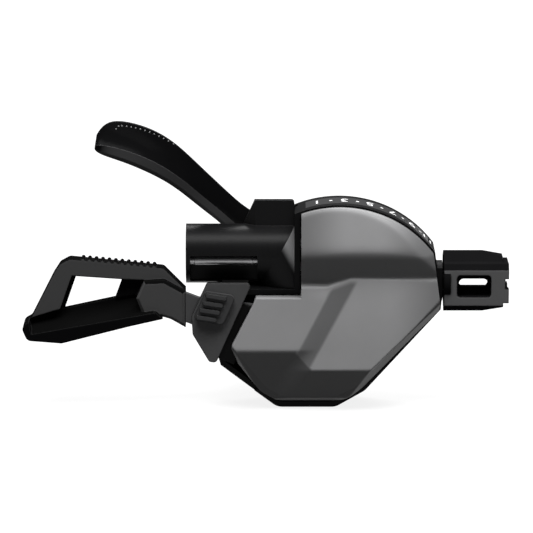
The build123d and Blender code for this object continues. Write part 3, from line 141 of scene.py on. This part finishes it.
sweep_white = bpy.data.materials.new("studio_white")
sweep_white.use_nodes = True
tree = sweep_white.node_tree
tree.nodes.clear()
sweep_rays = tree.nodes.new("ShaderNodeLightPath").outputs
sweep_direct = maths(tree, "MAXIMUM", sweep_rays["Is Camera Ray"], sweep_rays["Is Glossy Ray"])
sweep_seen = maths(tree, "MAXIMUM", sweep_direct, sweep_rays["Is Transmission Ray"])
sweep_share = maths(tree, "MULTIPLY", sweep_seen, sweep_glow_share)
sweep_colour = tree.nodes.new("ShaderNodeMix")
sweep_colour.data_type = "RGBA"
sweep_colour.inputs["A"].default_value = sweep_bounce
sweep_colour.inputs["B"].default_value = sweep_seen_white
sweep_diffuse = tree.nodes.new("ShaderNodeBsdfDiffuse")
sweep_glow = tree.nodes.new("ShaderNodeEmission")
sweep_glow.inputs["Color"].default_value = (1, 1, 1, 1)
sweep_mix = tree.nodes.new("ShaderNodeMixShader")
sweep_out = tree.nodes.new("ShaderNodeOutputMaterial")
tree.links.new(sweep_seen, sweep_colour.inputs["Factor"])
tree.links.new(sweep_colour.outputs["Result"], sweep_diffuse.inputs["Color"])
tree.links.new(sweep_share, sweep_mix.inputs["Fac"])
tree.links.new(sweep_diffuse.outputs[0], sweep_mix.inputs[1])
tree.links.new(sweep_glow.outputs[0], sweep_mix.inputs[2])
tree.links.new(sweep_mix.outputs[0], sweep_out.inputs["Surface"])
sweep.data.materials.append(sweep_white)

room_colour = (0.06, 0.06, 0.062, 1)
room_strength = 0.4
world = bpy.data.worlds.new("studio_room")
bpy.context.scene.world = world
world.use_nodes = True
room = world.node_tree.nodes["Background"]
room.inputs["Color"].default_value = room_colour
room.inputs["Strength"].default_value = room_strength


def softbox(name, place, size, power):
    """Rectangular lamp that looks at the middle of the shifter, placed in metres, in watts."""
    lamp_data = bpy.data.lights.new(name, "AREA")
    lamp_data.shape = "RECTANGLE"
    lamp_data.size, lamp_data.size_y = size
    lamp_data.energy = power
    lamp = bpy.data.objects.new(name, lamp_data)
    lamp.location = place
    lamp.rotation_mode = "QUATERNION"
    lamp.rotation_quaternion = (view_target - Vector(place)).to_track_quat("-Z", "Y")
    bpy.context.scene.collection.objects.link(lamp)


softbox("overhead_softbox", place=(0.1, -0.31, 0.95), size=(1.2, 0.4), power=22.0)
softbox("rear_softbox", place=(0.0, 0.6, 0.85), size=(1.0, 0.3), power=13.0)
softbox("front_fill", place=(-0.3, -1.2, 0.30), size=(0.9, 0.3), power=0.4)

# Handlebar band, pinch bolt and nut
# A black anodised alloy ring behind the body, split below and pinched by a plated steel bolt.


def shader_group(name, inputs, outputs):
    """Empty shader group with named sockets, with its input and output nodes."""
    group = bpy.data.node_groups.new(name, "ShaderNodeTree")
    for way, sockets in (("INPUT", inputs), ("OUTPUT", outputs)):
        for label, kind in sockets.items():
            group.interface.new_socket(label, in_out=way, socket_type="NodeSocket" + kind)
    return group, group.nodes.new("NodeGroupInput").outputs, group.nodes.new("NodeGroupOutput").inputs


def fine_grain_group():
    """Shader group for a moulded or blasted surface: two noises in object space give a height, a
    small change of roughness and a faint mottle of the colour."""
    noise_mean = 0.5
    cloud_scale = 160.0
    group, given, made = shader_group(
        "fine_grain",
        {"Colour": "Color", "Scale": "Float", "Roughness": "Float", "Roughness change": "Float",
         "Mottle": "Float"},
        {"Colour": "Color", "Roughness": "Float", "Height": "Float"},
    )
    links = group.links
    place = group.nodes.new("ShaderNodeTexCoord").outputs["Object"]
    grain = group.nodes.new("ShaderNodeTexNoise")
    grain.inputs["Detail"].default_value = 3.0
    cloud = group.nodes.new("ShaderNodeTexNoise")
    cloud.inputs["Scale"].default_value = cloud_scale
    cloud.inputs["Detail"].default_value = 2.0
    links.new(place, grain.inputs["Vector"])
    links.new(place, cloud.inputs["Vector"])
    links.new(given["Scale"], grain.inputs["Scale"])
    centred = maths(group, "SUBTRACT", grain.outputs["Fac"], noise_mean)
    rougher = maths(group, "MULTIPLY_ADD", centred, given["Roughness change"], given["Roughness"])
    shade = maths(group, "SUBTRACT", cloud.outputs["Fac"], noise_mean)
    level = maths(group, "MULTIPLY_ADD", shade, given["Mottle"], 1.0)
    tint = group.nodes.new("ShaderNodeVectorMath")
    tint.operation = "SCALE"
    links.new(given["Colour"], tint.inputs[0])
    links.new(level, tint.inputs["Scale"])
    links.new(tint.outputs[0], made["Colour"])
    links.new(rougher, made["Roughness"])
    links.new(grain.outputs["Fac"], made["Height"])
    return group


def soft_edge_group():
    """Shader group for edges: the normal rounded over a small radius, and a mask that is one where that
    normal turns away from the face, so along edges, and zero on flats."""
    edge_starts, edge_full = 0.985, 0.80
    group, given, made = shader_group(
        "soft_edge", {"Radius": "Float"}, {"Edge": "Float", "Normal": "Vector"}
    )
    links = group.links
    rounded = group.nodes.new("ShaderNodeBevel")
    rounded.samples = 8
    facing = group.nodes.new("ShaderNodeNewGeometry")
    together = group.nodes.new("ShaderNodeVectorMath")
    together.operation = "DOT_PRODUCT"
    apart = group.nodes.new("ShaderNodeMapRange")
    apart.inputs["From Min"].default_value = edge_starts
    apart.inputs["From Max"].default_value = edge_full
    links.new(given["Radius"], rounded.inputs["Radius"])
    links.new(rounded.outputs["Normal"], together.inputs[0])
    links.new(facing.outputs["Normal"], together.inputs[1])
    links.new(together.outputs["Value"], apart.inputs["Value"])
    links.new(apart.outputs["Result"], made["Edge"])
    links.new(rounded.outputs["Normal"], made["Normal"])
    return group


def depth_band_group():
    """Shader group for a layer of a piece: a mask that is one between two depths and right of an end, in
    object space."""
    group, given, made = shader_group(
        "depth_band", {"From": "Float", "To": "Float", "Left end": "Float"}, {"Mask": "Float"}
    )
    place = group.nodes.new("ShaderNodeTexCoord").outputs["Object"]
    parts = group.nodes.new("ShaderNodeSeparateXYZ")
    group.links.new(place, parts.inputs[0])
    after = maths(group, "GREATER_THAN", parts.outputs["Y"], given["From"])
    before = maths(group, "LESS_THAN", parts.outputs["Y"], given["To"])
    beside = maths(group, "GREATER_THAN", parts.outputs["X"], given["Left end"])
    layer = maths(group, "MULTIPLY", after, before)
    group.links.new(maths(group, "MULTIPLY", layer, beside), made["Mask"])
    return group


def front_face_group():
    """Shader group for faces that look one way: a mask that rises from zero to one as the share of the face
    normal along the direction goes from the low to the high bound."""
    group, given, made = shader_group(
        "front_face", {"Low": "Float", "High": "Float", "Direction": "Vector"}, {"Mask": "Float"}
    )
    links = group.links
    facing = group.nodes.new("ShaderNodeNewGeometry")
    forward = group.nodes.new("ShaderNodeVectorMath")
    forward.operation = "DOT_PRODUCT"
    links.new(facing.outputs["Normal"], forward.inputs[0])
    links.new(given["Direction"], forward.inputs[1])
    rise = group.nodes.new("ShaderNodeMapRange")
    rise.interpolation_type = "SMOOTHSTEP"
    links.new(forward.outputs["Value"], rise.inputs["Value"])
    links.new(given["Low"], rise.inputs["From Min"])
    links.new(given["High"], rise.inputs["From Max"])
    links.new(rise.outputs["Result"], made["Mask"])
    return group


fine_grain = fine_grain_group()
soft_edge = soft_edge_group()
depth_band = depth_band_group()
front_face = front_face_group()


def finish(name, colour, rough, scale, bump, metallic=0.0, specular=0.5, mottle=0.25, edge=None,
           edge_width=0.25, bands=(), front=None, painted_shade=None):
    """Principled material with the fine grain: colour, roughness and a shallow bump vary over it. Over the
    colour come painted light and painted shade, each with a colour: its bands (layers between two depths,
    right of a left end), the front (faces that look in a direction), the edge (along edges, over a width;
    lighter is a painted highlight, darker is painted shade) and the painted shade (by an attribute of the
    mesh). Depths, ends and widths are in millimetres."""
    roughness_change = 0.12
    grain_depth = 0.05 * MM
    material = bpy.data.materials.new(name)
    material.use_nodes = True
    nodes_in = material.node_tree.nodes
    links = material.node_tree.links
    shader = nodes_in["Principled BSDF"]
    shader.inputs["Metallic"].default_value = metallic
    shader.inputs["Specular IOR Level"].default_value = specular

    def placed(group, **values):
        """Group node with its inputs set; an underscore in a key stands for a space."""
        node = nodes_in.new("ShaderNodeGroup")
        node.node_tree = group
        for label, value in values.items():
            node.inputs[label.replace("_", " ")].default_value = value
        return node.outputs

    grain = placed(fine_grain, Colour=(*colour, 1), Scale=scale, Roughness=rough,
                   Roughness_change=roughness_change, Mottle=mottle)
    soft = placed(soft_edge, Radius=edge_width * MM)
    relief = nodes_in.new("ShaderNodeBump")
    relief.inputs["Strength"].default_value = bump
    relief.inputs["Distance"].default_value = grain_depth
    layers = []
    # Bands, front and edge lay painted light and painted shade over the grain's colour.
    for band in bands:
        layer = placed(depth_band, From=-band["near"] * MM, To=-band["far"] * MM,
                       Left_end=band["left_end"] * MM)
        layers.append((layer["Mask"], band["colour"]))
    if front:
        facing = placed(front_face, Low=front["low"], High=front["high"], Direction=front["direction"])
        layers.append((facing["Mask"], front["colour"]))
    if edge:
        layers.append((soft["Edge"], edge))
    # Painted shade: a darker colour laid by a share that the mesh holds in an attribute.
    if painted_shade:
        shade_attribute = nodes_in.new("ShaderNodeAttribute")
        shade_attribute.attribute_name = painted_shade["attribute"]
        layers.append((shade_attribute.outputs["Fac"], painted_shade["colour"]))
    paint = grain["Colour"]
    for mask, tint in layers:
        over = nodes_in.new("ShaderNodeMix")
        over.data_type = "RGBA"
        over.inputs["B"].default_value = (*tint, 1)
        links.new(mask, over.inputs["Factor"])
        links.new(paint, over.inputs["A"])
        paint = over.outputs["Result"]
    links.new(paint, shader.inputs["Base Color"])
    links.new(grain["Roughness"], shader.inputs["Roughness"])
    links.new(grain["Height"], relief.inputs["Height"])
    links.new(soft["Normal"], relief.inputs["Normal"])
    links.new(relief.outputs["Normal"], shader.inputs["Normal"])
    return material


def dress(material, *names):
    """Gives a material to CAD nodes."""
    for name in names:
        nodes[name].data.materials.clear()
        nodes[name].data.materials.append(material)


# The band's edges carry a painted highlight, a grey lighter than the alloy.
band_alloy = finish("band_anodised", (0.018, 0.018, 0.019), rough=0.36, scale=2600, bump=0.12,
                    specular=0.3, edge=(0.06, 0.06, 0.061))
dress(band_alloy, "clamp_band")
plated_steel = finish("plated_steel", (0.50, 0.50, 0.51), rough=0.28, scale=1800, bump=0.08, metallic=1.0)
dress(plated_steel, "clamp_bolt", "clamp_nut")

# Rear housing and its screws
# One black moulding: the drum's back wall and side wall, fine satin from the tool. Plated screws reach
# through it into the front cover.
black_moulding = finish("black_moulding", (0.003, 0.003, 0.0032), rough=0.5, scale=3200, bump=0.22,
                        specular=0.06)
dress(black_moulding, "rear_housing")
dress(plated_steel, "cover_screws")

# Front cover
# Moulded shell in satin metallic paint, dark grey: a dome bends over into a shaded band, and below the
# crease two panels lean outwards, the left one stepped up along a slanted facet, and tuck in to the keel.
housing_rim = 27.0
cover_centre = (16.9, -11.8)
cover_arc_r = 29.8
cover_arc = (109.2, 36.5)
keel_foot = -32.4
cover_corners = (
    (42.5, -6.5), (42.3, -8.7), (32.6, -18.6), (22.6, -29.2), (17.0, keel_foot), (1.5, keel_foot),
    (-3.1, -29.7), (-9.0, -22.0), (-10.7, -17.3), (-4.4, -5.0), (7.1, -5.0),
)
cover_round = 1.4
cover_wall = 1.2
keel_bevel = 2.0
keel_starts = (2.0, 1.7, 3.2, 1.1, 3.2, 3.8)
lever_gap = (166.0, 220.0)
lever_gap_rise = 3.05
crease_x, crease_z = (13.8, 19.7, 41.8), (-1.75, 0.40, 0.0)
outline_steps, face_rows, inner_rows = 380, 110, 24
inner_edge_share = 0.95


def eased(value, start, end):
    """Smooth step from zero at the start to one at the end."""
    part = np.clip((value - start) / (end - start), 0, 1)
    return part * part * (3 - 2 * part)


def keel_distance(x, z, starts=0.0, steepness=1.0):
    """Distance inwards from the edges between the right foot and the heel, in millimetres: the least of the
    distances to their straight lines, each times the steepness and raised by its start."""
    ends = np.array(cover_corners[1:8])
    run = np.diff(ends, axis=0)
    inward = np.stack([run[:, 1], -run[:, 0]], 1) / np.hypot(*run.T)[:, None]
    away = (x[..., None] - ends[:-1, 0]) * inward[:, 0] + (z[..., None] - ends[:-1, 1]) * inward[:, 1]
    return (starts + steepness * away).min(axis=-1)


def facet_ramp(x, z):
    """Way across the slanted facet, from zero at the left panel to one at the right panel."""
    start_x, start_z = 12.6, -5.2
    lean, width = 0.545, 6.9
    return np.clip((x - start_x - lean * (z - start_z)) / width, 0, 1)


def cover_rise(x, z):
    """Height of the cover over the housing's rim, in millimetres: above the crease the lowest of a rounded
    drum edge, a slope and a shaded band, below it the lower of a leaning panel and a tuck to the keel,
    where a slanted ramp leads from the left panel to the right one, and a steep edge round the keel.
    Logarithms of sums soften the bends."""
    rim_low, rim_rise, rim_start, rim_width, rim_power = 0.9, 5.5, 22.0, 7.8, 3.0
    ridge_rise, ridge_z, crown_x = 5.75, 7.5, 22.0
    slope_fall, slope_crown = 0.40, 0.0035
    band_fall, band_crown = 0.37, 0.0010
    ridge_bend, rim_bend, fold_bend, keel_bend = 0.5, 0.35, 0.1, 0.15
    panel_foot, crease_width, far_off = 3.35, 0.13, 40

    def softer(first, second, bend):
        return -bend * np.logaddexp(-first / bend, -second / bend)

    def panel(top, lean, tuck_foot, tuck_lean):
        return softer(panel_foot + lean * (top - z), tuck_foot + tuck_lean * (z - keel_foot), fold_bend)

    out = np.hypot(x - cover_centre[0], z - cover_centre[1])
    rim = rim_low + rim_rise * (1 - np.clip((out - rim_start) / rim_width, 0, 1) ** rim_power)
    slope = ridge_rise - slope_fall * (z - ridge_z) - slope_crown * (x - crown_x) ** 2
    band = ridge_rise + band_fall * (z - ridge_z) - band_crown * (x - crown_x) ** 2
    upper = softer(softer(slope, band, ridge_bend), rim, rim_bend)
    right = panel(top=0.4, lean=0.155, tuck_foot=2.8, tuck_lean=0.455)
    left = panel(top=-1.75, lean=0.222, tuck_foot=2.25, tuck_lean=0.322)
    lower = left + (right - left) * eased(facet_ramp(x, z), 0, 1)
    lower = softer(lower, keel_distance(x, z, np.array(keel_starts), keel_bevel), keel_bend)
    over_crease = (z - np.interp(x, crease_x, crease_z)) / crease_width
    above = 1 / (1 + np.exp(-np.clip(over_crease, -far_off, far_off)))
    return lower + (upper - lower) * above


def cover_shade(x, z):
    """Share of the painted shade, a darker colour laid over the paint, from zero to one: along the slanted
    facet, on the band over the crease, on the tuck at the keel, round its edge, and towards the ends of the
    dome and of the right panel."""
    lit_x, lit_z, lit_width, lit_height = 13.0, -3.6, 4.0, 1.6
    left_share, facet_share, tuck_share, band_share = 0.2, 0.66, 0.96, 0.86
    right_end_share, right_low_share = 0.5, 0.12
    dome_share, dome_left_share, dome_right_share = 0.16, 0.45, 0.5
    fold_z, fold_drop = -17.7, 5.2
    crease = np.interp(x, crease_x, crease_z)
    ramp = facet_ramp(x, z)
    fold = fold_z - fold_drop * ramp
    below = eased(z, crease, crease - 0.5)
    lit_corner = np.exp(-(((x - lit_x) / lit_width) ** 2) - ((z - lit_z) / lit_height) ** 2)
    left = left_share * (1 - lit_corner) * (1 - ramp)
    right = (right_end_share * eased(x, 29.0, 43.0) + right_low_share * eased(z, -6.0, -18.0)) * ramp
    facet = facet_share * eased(ramp, 0.0, 0.2) * eased(ramp, 1.0, 0.8)
    facet = facet * eased(z, crease - 0.3, crease - 2.0)
    tuck = (tuck_share - 0.02 * ramp) * eased(z, fold + 0.5, fold - 1.1 + 0.6 * ramp)
    border = eased(keel_distance(x, z), 2.4, 1.8)
    dome = dome_share + dome_left_share * eased(x, 20.0, 7.0) + dome_right_share * eased(x, 26.0, 39.0)
    band = band_share * eased(z, 8.8, 5.0)
    lower = np.maximum.reduce([left + right, facet, tuck, border])
    return lower * below + np.maximum(dome, band) * (1 - below)


def cover_outline(count):
    """Points round the cover's outline, in millimetres: the drum's arc and then straight runs between the
    corners, the four at the keel rounded by quadratic curves, all cut into equal steps."""
    arc_steps, round_steps = 60, 6
    turn = np.radians(np.linspace(*cover_arc, arc_steps))
    arc = np.array(cover_centre) + cover_arc_r * np.stack([np.cos(turn), np.sin(turn)], 1)
    corners = np.array(cover_corners)
    turns = corners[3:7]
    before = turns - corners[2:6]
    after = corners[4:8] - turns
    start = turns - cover_round * before / np.hypot(*before.T)[:, None]
    stop = turns + cover_round * after / np.hypot(*after.T)[:, None]
    t = np.linspace(0, 1, round_steps)[None, :, None]
    rounded = (1 - t) ** 2 * start[:, None] + 2 * t * (1 - t) * turns[:, None] + t**2 * stop[:, None]
    ring = np.concatenate([arc, corners[:3], rounded.reshape(-1, 2), corners[7:], arc[:1]])
    along = np.concatenate([[0.0], np.cumsum(np.hypot(*np.diff(ring, axis=0).T))])
    steps = np.union1d(np.linspace(0, along[-1], count, endpoint=False), along[arc_steps:-1])
    return np.interp(steps, along, ring[:, 0]), np.interp(steps, along, ring[:, 1])


def welded(mesh):
    """Merges the doubled points where a grid runs into a pole, and turns the faces outwards."""
    weld_distance = 0.0005 * MM
    shape = bmesh.new()
    shape.from_mesh(mesh)
    bmesh.ops.remove_doubles(shape, verts=shape.verts, dist=weld_distance)
    bmesh.ops.recalc_face_normals(shape, faces=shape.faces)
    shape.to_mesh(mesh)
    shape.free()
    mesh.shade_smooth()


def points_of(mesh):
    """Points of a mesh as rows of x, y and z."""
    points = np.empty(len(mesh.vertices) * 3)
    mesh.vertices.foreach_get("co", points)
    return points.reshape(-1, 3)


edge_x, edge_z = cover_outline(outline_steps)
face_share = np.linspace(0.0, 1.0, face_rows)[:, None]
face_x = cover_centre[0] + face_share * (edge_x - cover_centre[0])
face_z = cover_centre[1] + face_share * (edge_z - cover_centre[1])
face_rise = cover_rise(face_x, face_z)
inner_share = np.linspace(inner_edge_share, 0.0, inner_rows)[:, None]
inner_x = cover_centre[0] + inner_share * (edge_x - cover_centre[0])
inner_z = cover_centre[1] + inner_share * (edge_z - cover_centre[1])
edge_turn = np.degrees(np.arctan2(edge_z - cover_centre[1], edge_x - cover_centre[0])) % 360
at_lever = (edge_turn > lever_gap[0]) & (edge_turn < lever_gap[1])
wall_foot = np.where(at_lever, lever_gap_rise, 0.0)[None, :]
inner_rise = np.maximum(cover_rise(inner_x, inner_z) - cover_wall, wall_foot)
cover_x = np.concatenate([face_x, face_x[-1:], inner_x[:1], inner_x])
cover_z = np.concatenate([face_z, face_z[-1:], inner_z[:1], inner_z])
cover_high = np.concatenate([face_rise, wall_foot, wall_foot, inner_rise])
cover_mesh = grid_mesh(
    "cover_shell", cover_x * MM, -(housing_rim + cover_high) * MM, cover_z * MM, wrap=True
)
welded(cover_mesh)
cover_points = points_of(cover_mesh) / MM
# Each point of the shell holds its share of painted shade in the shade attribute.
shade = cover_mesh.attributes.new("shade", "FLOAT", "POINT")
shade.data.foreach_set("value", cover_shade(cover_points[:, 0], cover_points[:, 2]))
cover = piece_from(cover_mesh)
# Satin grey paint; the shade attribute lays painted shade over it as a near-black colour, and the edges carry
# a painted highlight.
cover_paint = finish("satin_grey_paint", (0.25, 0.25, 0.253), rough=0.5, scale=5200, bump=0.1,
                     specular=0.2, mottle=0.1, edge=(0.30, 0.30, 0.304),
                     painted_shade={"attribute": "shade", "colour": (0.03, 0.03, 0.0305)})
cover.data.materials.append(cover_paint)
dress(cover_paint, "front_cover")
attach(cover, "housing")
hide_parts("front_cover")

# Clamp bracket and its cross pin
# Black alloy half-round boss with a block on top; its steep face at the right carries painted light and its
# edges a painted highlight. The dark steel pin sits in the ears of its recess.
# The front mask lays painted light, a pale grey, on faces that look right, forward and up: the boss's steep
# face.
black_alloy = finish("black_anodised", (0.006, 0.006, 0.0063), rough=0.36, scale=2600, bump=0.12,
                     specular=0.06, edge=(0.03, 0.03, 0.0305),
                     front={"low": 0.84, "high": 0.99, "colour": (0.25, 0.25, 0.253),
                            "direction": (0.64, -0.68, 0.36)})
dress(black_alloy, "clamp_bracket")
dress(plated_steel, "bracket_screws")
pin_steel = finish("dark_pin_steel", (0.26, 0.26, 0.265), rough=0.3, scale=1800, bump=0.08, metallic=0.8)
dress(pin_steel, "bracket_pin")

# Winding mechanism
# Pressed and plated steel on the axle, bright spring wire, and natural nylon for the spool and the
# display gear.
dress(plated_steel, "base_plate", "main_axle", "axle_clip", "ratchet_wheel", "hold_pawl", "hold_pawl_pin",
      "feed_pawl", "feed_pawl_pin", "reduction_pin")
spring_wire = finish("spring_wire", (0.42, 0.42, 0.43), rough=0.24, scale=1500, bump=0.06, metallic=1.0)
dress(spring_wire, "spool_spring", "release_spring", "main_lever_spring")
nylon = finish("natural_nylon", (0.66, 0.65, 0.6), rough=0.45, scale=2400, bump=0.12)
dress(nylon, "cable_spool", "reduction_gear")

# Gear display
# A grey strip bent round the drum under a smoked window, with a pale pointer between them. The gear
# numbers are printed on the window's outer face: odd gears as digits, even ones as dots.
dial_grey = finish("dial_grey", (0.16, 0.16, 0.162), rough=0.5, scale=3000, bump=0.1)
dress(dial_grey, "dial_strip")
pointer_pale = finish("pointer_pale", (0.10, 0.10, 0.10), rough=0.5, scale=2400, bump=0.1, specular=0.2)
dress(pointer_pale, "indicator_needle")

window_clear = bpy.data.materials.new("window_clear")
window_clear.use_nodes = True
window_shader = window_clear.node_tree.nodes["Principled BSDF"]
window_shader.inputs["Base Color"].default_value = (0.05, 0.05, 0.051, 1)
window_shader.inputs["Roughness"].default_value = 0.3
window_shader.inputs["Alpha"].default_value = 0.7
dress(window_clear, "display_window")

axle = Vector(joints["needle_turn"]["pos_m"])
pane_low, pane_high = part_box("display_window")
dial_surface = pane_high.z - axle.z
dial_middle = (pane_low.y + pane_high.y) / 2
print_lift = 0.02 * MM
gear_count = 11
digit_height = 3.6 * MM
digit_stretch = 0.95
capital_share = 0.72
first_gear_angle = 100.9
gear_step = -6.85
gear_step_change = 0.094
dot_radius = 0.42 * MM
dot_rings, dot_spokes = 3, 20


def dial_angle(gear):
    """Place of a gear on the dial in degrees: the steps shrink a little towards the high gears."""
    shift = gear - 1
    return first_gear_angle + gear_step * shift + gear_step_change * shift**2


def flat_digit(gear):
    """Flat mesh of a gear's number, centred on the origin."""
    name = f"gear_digit_{gear}"
    lettering = bpy.data.curves.new(name, "FONT")
    lettering.body = str(gear)
    lettering.align_x = "CENTER"
    lettering.size = digit_height / capital_share
    holder = bpy.data.objects.new("lettering", lettering)
    bpy.context.scene.collection.objects.link(holder)
    bpy.context.view_layer.update()
    shown = holder.evaluated_get(bpy.context.evaluated_depsgraph_get())
    mesh = bpy.data.meshes.new_from_object(shown)
    bpy.data.objects.remove(holder)
    mesh.name = name
    flat = points_of(mesh)
    flat[:, 0] *= digit_stretch
    flat[:, 1] -= digit_height / 2
    mesh.vertices.foreach_set("co", flat.ravel())
    return mesh


def flat_dot(gear):
    """Flat round mesh of a gear's dot: rings round its centre."""
    spread, turn = np.meshgrid(
        np.linspace(0.0, dot_radius, dot_rings),
        np.linspace(0, 2 * np.pi, dot_spokes, endpoint=False),
        indexing="ij",
    )
    return grid_mesh(
        f"gear_dot_{gear}", spread * np.cos(turn), spread * np.sin(turn), np.zeros_like(turn), wrap=True
    )


def on_dial(mesh, angle):
    """Bends a flat print onto the window: across goes round the axle from the angle, up goes to the front."""
    flat = points_of(mesh)
    turn = np.radians(angle) + flat[:, 0] / dial_surface
    reach = dial_surface + print_lift
    bent = np.stack(
        [axle.x + reach * np.cos(turn), dial_middle - flat[:, 1], axle.z + reach * np.sin(turn)], axis=1
    )
    mesh.vertices.foreach_set("co", bent.ravel())
    mesh.update()


print_white = finish("print_white", (0.85, 0.85, 0.85), rough=0.5, scale=2400, bump=0.05)
for gear in range(1, gear_count + 1):
    print_mesh = flat_digit(gear) if gear % 2 else flat_dot(gear)
    on_dial(print_mesh, dial_angle(gear))
    print_mesh.materials.clear()
    print_mesh.materials.append(print_white)
    printed = piece_from(print_mesh)
    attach(printed, "housing")

# Release lever
# Glossy black moulded finger lever, hollowed like a spoon, with a flat arm on the main axle.
# Faces that look forward and down carry painted light, a dark grey over the black, and the ridges and edges a
# painted highlight line.
lever_gloss = finish("lever_gloss", (0.003, 0.003, 0.0032), rough=0.2, scale=2200, bump=0.04,
                     specular=0.002, edge=(0.14, 0.14, 0.142),
                     front={"low": 0.72, "high": 0.9, "colour": (0.045, 0.045, 0.046),
                            "direction": (0.0, -0.87, -0.5)})
dress(lever_gloss, "release_lever")

# Grip studs of the release lever
# A row of fourteen small domes moulded along the upper edge of the finger face, so that it grips; their grey
# is a painted highlight on the black moulding. Each is found by its place in the photograph and seated on the
# lever, square to its face.
stud_painted_highlight = finish("stud_painted_highlight", (0.14, 0.14, 0.142), rough=0.3, scale=2200, bump=0.04, specular=0.3)
stud_r = 0.22 * MM
stud_rise = 0.15 * MM
stud_rings, stud_spokes = 5, 12
stud_pixels = (
    (116.0, 129.0), (118.5, 126.4), (122.0, 126.0), (126.6, 126.4), (131.2, 127.1), (135.8, 128.0),
    (140.4, 129.2), (145.0, 130.6), (149.6, 132.3), (154.2, 134.2), (158.9, 136.3), (163.6, 138.6),
    (168.4, 141.2), (173.6, 144.0),
)
picture = 533.0
picture_up = Vector((0, math.sin(view_elevation), math.cos(view_elevation)))
stud_out, stud_turn = np.meshgrid(
    np.linspace(0, np.pi / 2, stud_rings),
    np.linspace(0, 2 * np.pi, stud_spokes, endpoint=False),
    indexing="ij",
)
stud_flat = stud_r * np.sin(stud_out)
stud_tall = stud_rise * np.cos(stud_out)
blade = nodes["release_lever"]
for number, (across, down) in enumerate(stud_pixels, 1):
    across_view = (across / picture - 0.5) * view_width
    up_view = (0.5 - down / picture) * view_width
    sight = Vector((across_view, 0, 0)) + picture_up * up_view - back * view_distance
    _, seat, normal, _ = blade.ray_cast(camera.location, sight.normalized())
    side = normal.orthogonal().normalized()
    other = normal.cross(side)
    dome = [
        seat[axis]
        + stud_flat * (np.cos(stud_turn) * side[axis] + np.sin(stud_turn) * other[axis])
        + stud_tall * normal[axis]
        for axis in range(3)
    ]
    stud_mesh = grid_mesh(f"lever_stud_{number}", *dome, wrap=True)
    welded(stud_mesh)
    stud_mesh.materials.append(stud_painted_highlight)
    stud_piece = piece_from(stud_mesh)
    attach(stud_piece, "release_lever")

# Main lever and thumb pad
# Black coated steel arm with a moulded skeleton pad, serrated on top; the pad's frame and arm faces carry
# painted light, a grey over the black, and its faces that look up painted shade.
# The bands lay painted light on the pad's frame and arm faces, the front mask painted shade on its faces that
# look up, and the edges a faint painted highlight.
pad_black = finish("pad_black", (0.004, 0.004, 0.0043), rough=0.32, scale=2600, bump=0.1, specular=0.0,
                   edge=(0.014, 0.014, 0.014), edge_width=0.5,
                   front={"low": 0.5, "high": 0.75, "colour": (0.003, 0.003, 0.003),
                          "direction": (0.0, -0.35, 0.94)},
                   bands=({"near": 27.45, "far": 27.35, "left_end": -70.0,
                           "colour": (0.055, 0.055, 0.0555)},
                          {"near": 29.45, "far": 28.6, "left_end": -36.5,
                           "colour": (0.06, 0.06, 0.0605)}))
dress(pad_black, "thumb_pad")
# The arm's edges carry painted shade, a near-black over its grey.
arm_black = finish("arm_black", (0.06, 0.06, 0.061), rough=0.36, scale=2600, bump=0.1, specular=0.06,
                   edge=(0.006, 0.006, 0.006), edge_width=0.4)
dress(arm_black, "main_lever")

# Side plate and cable-port door
# Grey satin cover plate left of the main cover, with a small ribbed door that slides down on it.
# Between 26 and 30.2 mm depth, where the plate's tongue runs under the cover, the band is painted black as
# shade in the gap, and the edges carry painted shade.
plate_grey = finish("plate_grey", (0.066, 0.066, 0.067), rough=0.42, scale=3600, bump=0.15, specular=0.04,
                    edge=(0.008, 0.008, 0.008), edge_width=0.5,
                    bands=({"near": 30.2, "far": 26.0, "left_end": -70.0,
                            "colour": (0.003, 0.003, 0.003)},))
dress(plate_grey, "side_plate")
# The door's edges carry painted shade, darker than its grey.
door_grey = finish("door_grey", (0.045, 0.045, 0.046), rough=0.38, scale=3600, bump=0.15, specular=0.05,
                   edge=(0.006, 0.006, 0.006), edge_width=0.4)
dress(door_grey, "cable_port_door")

# Barrel adjuster
# Black moulded winged barrel with a through slot, painted light on its front face and painted shade along its
# edges, and a socket for the casing at its end. It turns on a black hollow stem.
# The thin band at 28.15 to 28.25 mm depth lays painted light, a grey, on the front face; the edges carry
# painted shade.
adjuster_black = finish("adjuster_black", (0.006, 0.006, 0.0063), rough=0.36, scale=2800, bump=0.15,
                        specular=0.0, edge=(0.004, 0.004, 0.004), edge_width=0.6,
                        bands=({"near": 28.25, "far": 28.15, "left_end": 0.0,
                                "colour": (0.095, 0.095, 0.096)},))
dress(adjuster_black, "barrel_adjuster")
dress(black_moulding, "adjuster_stem")
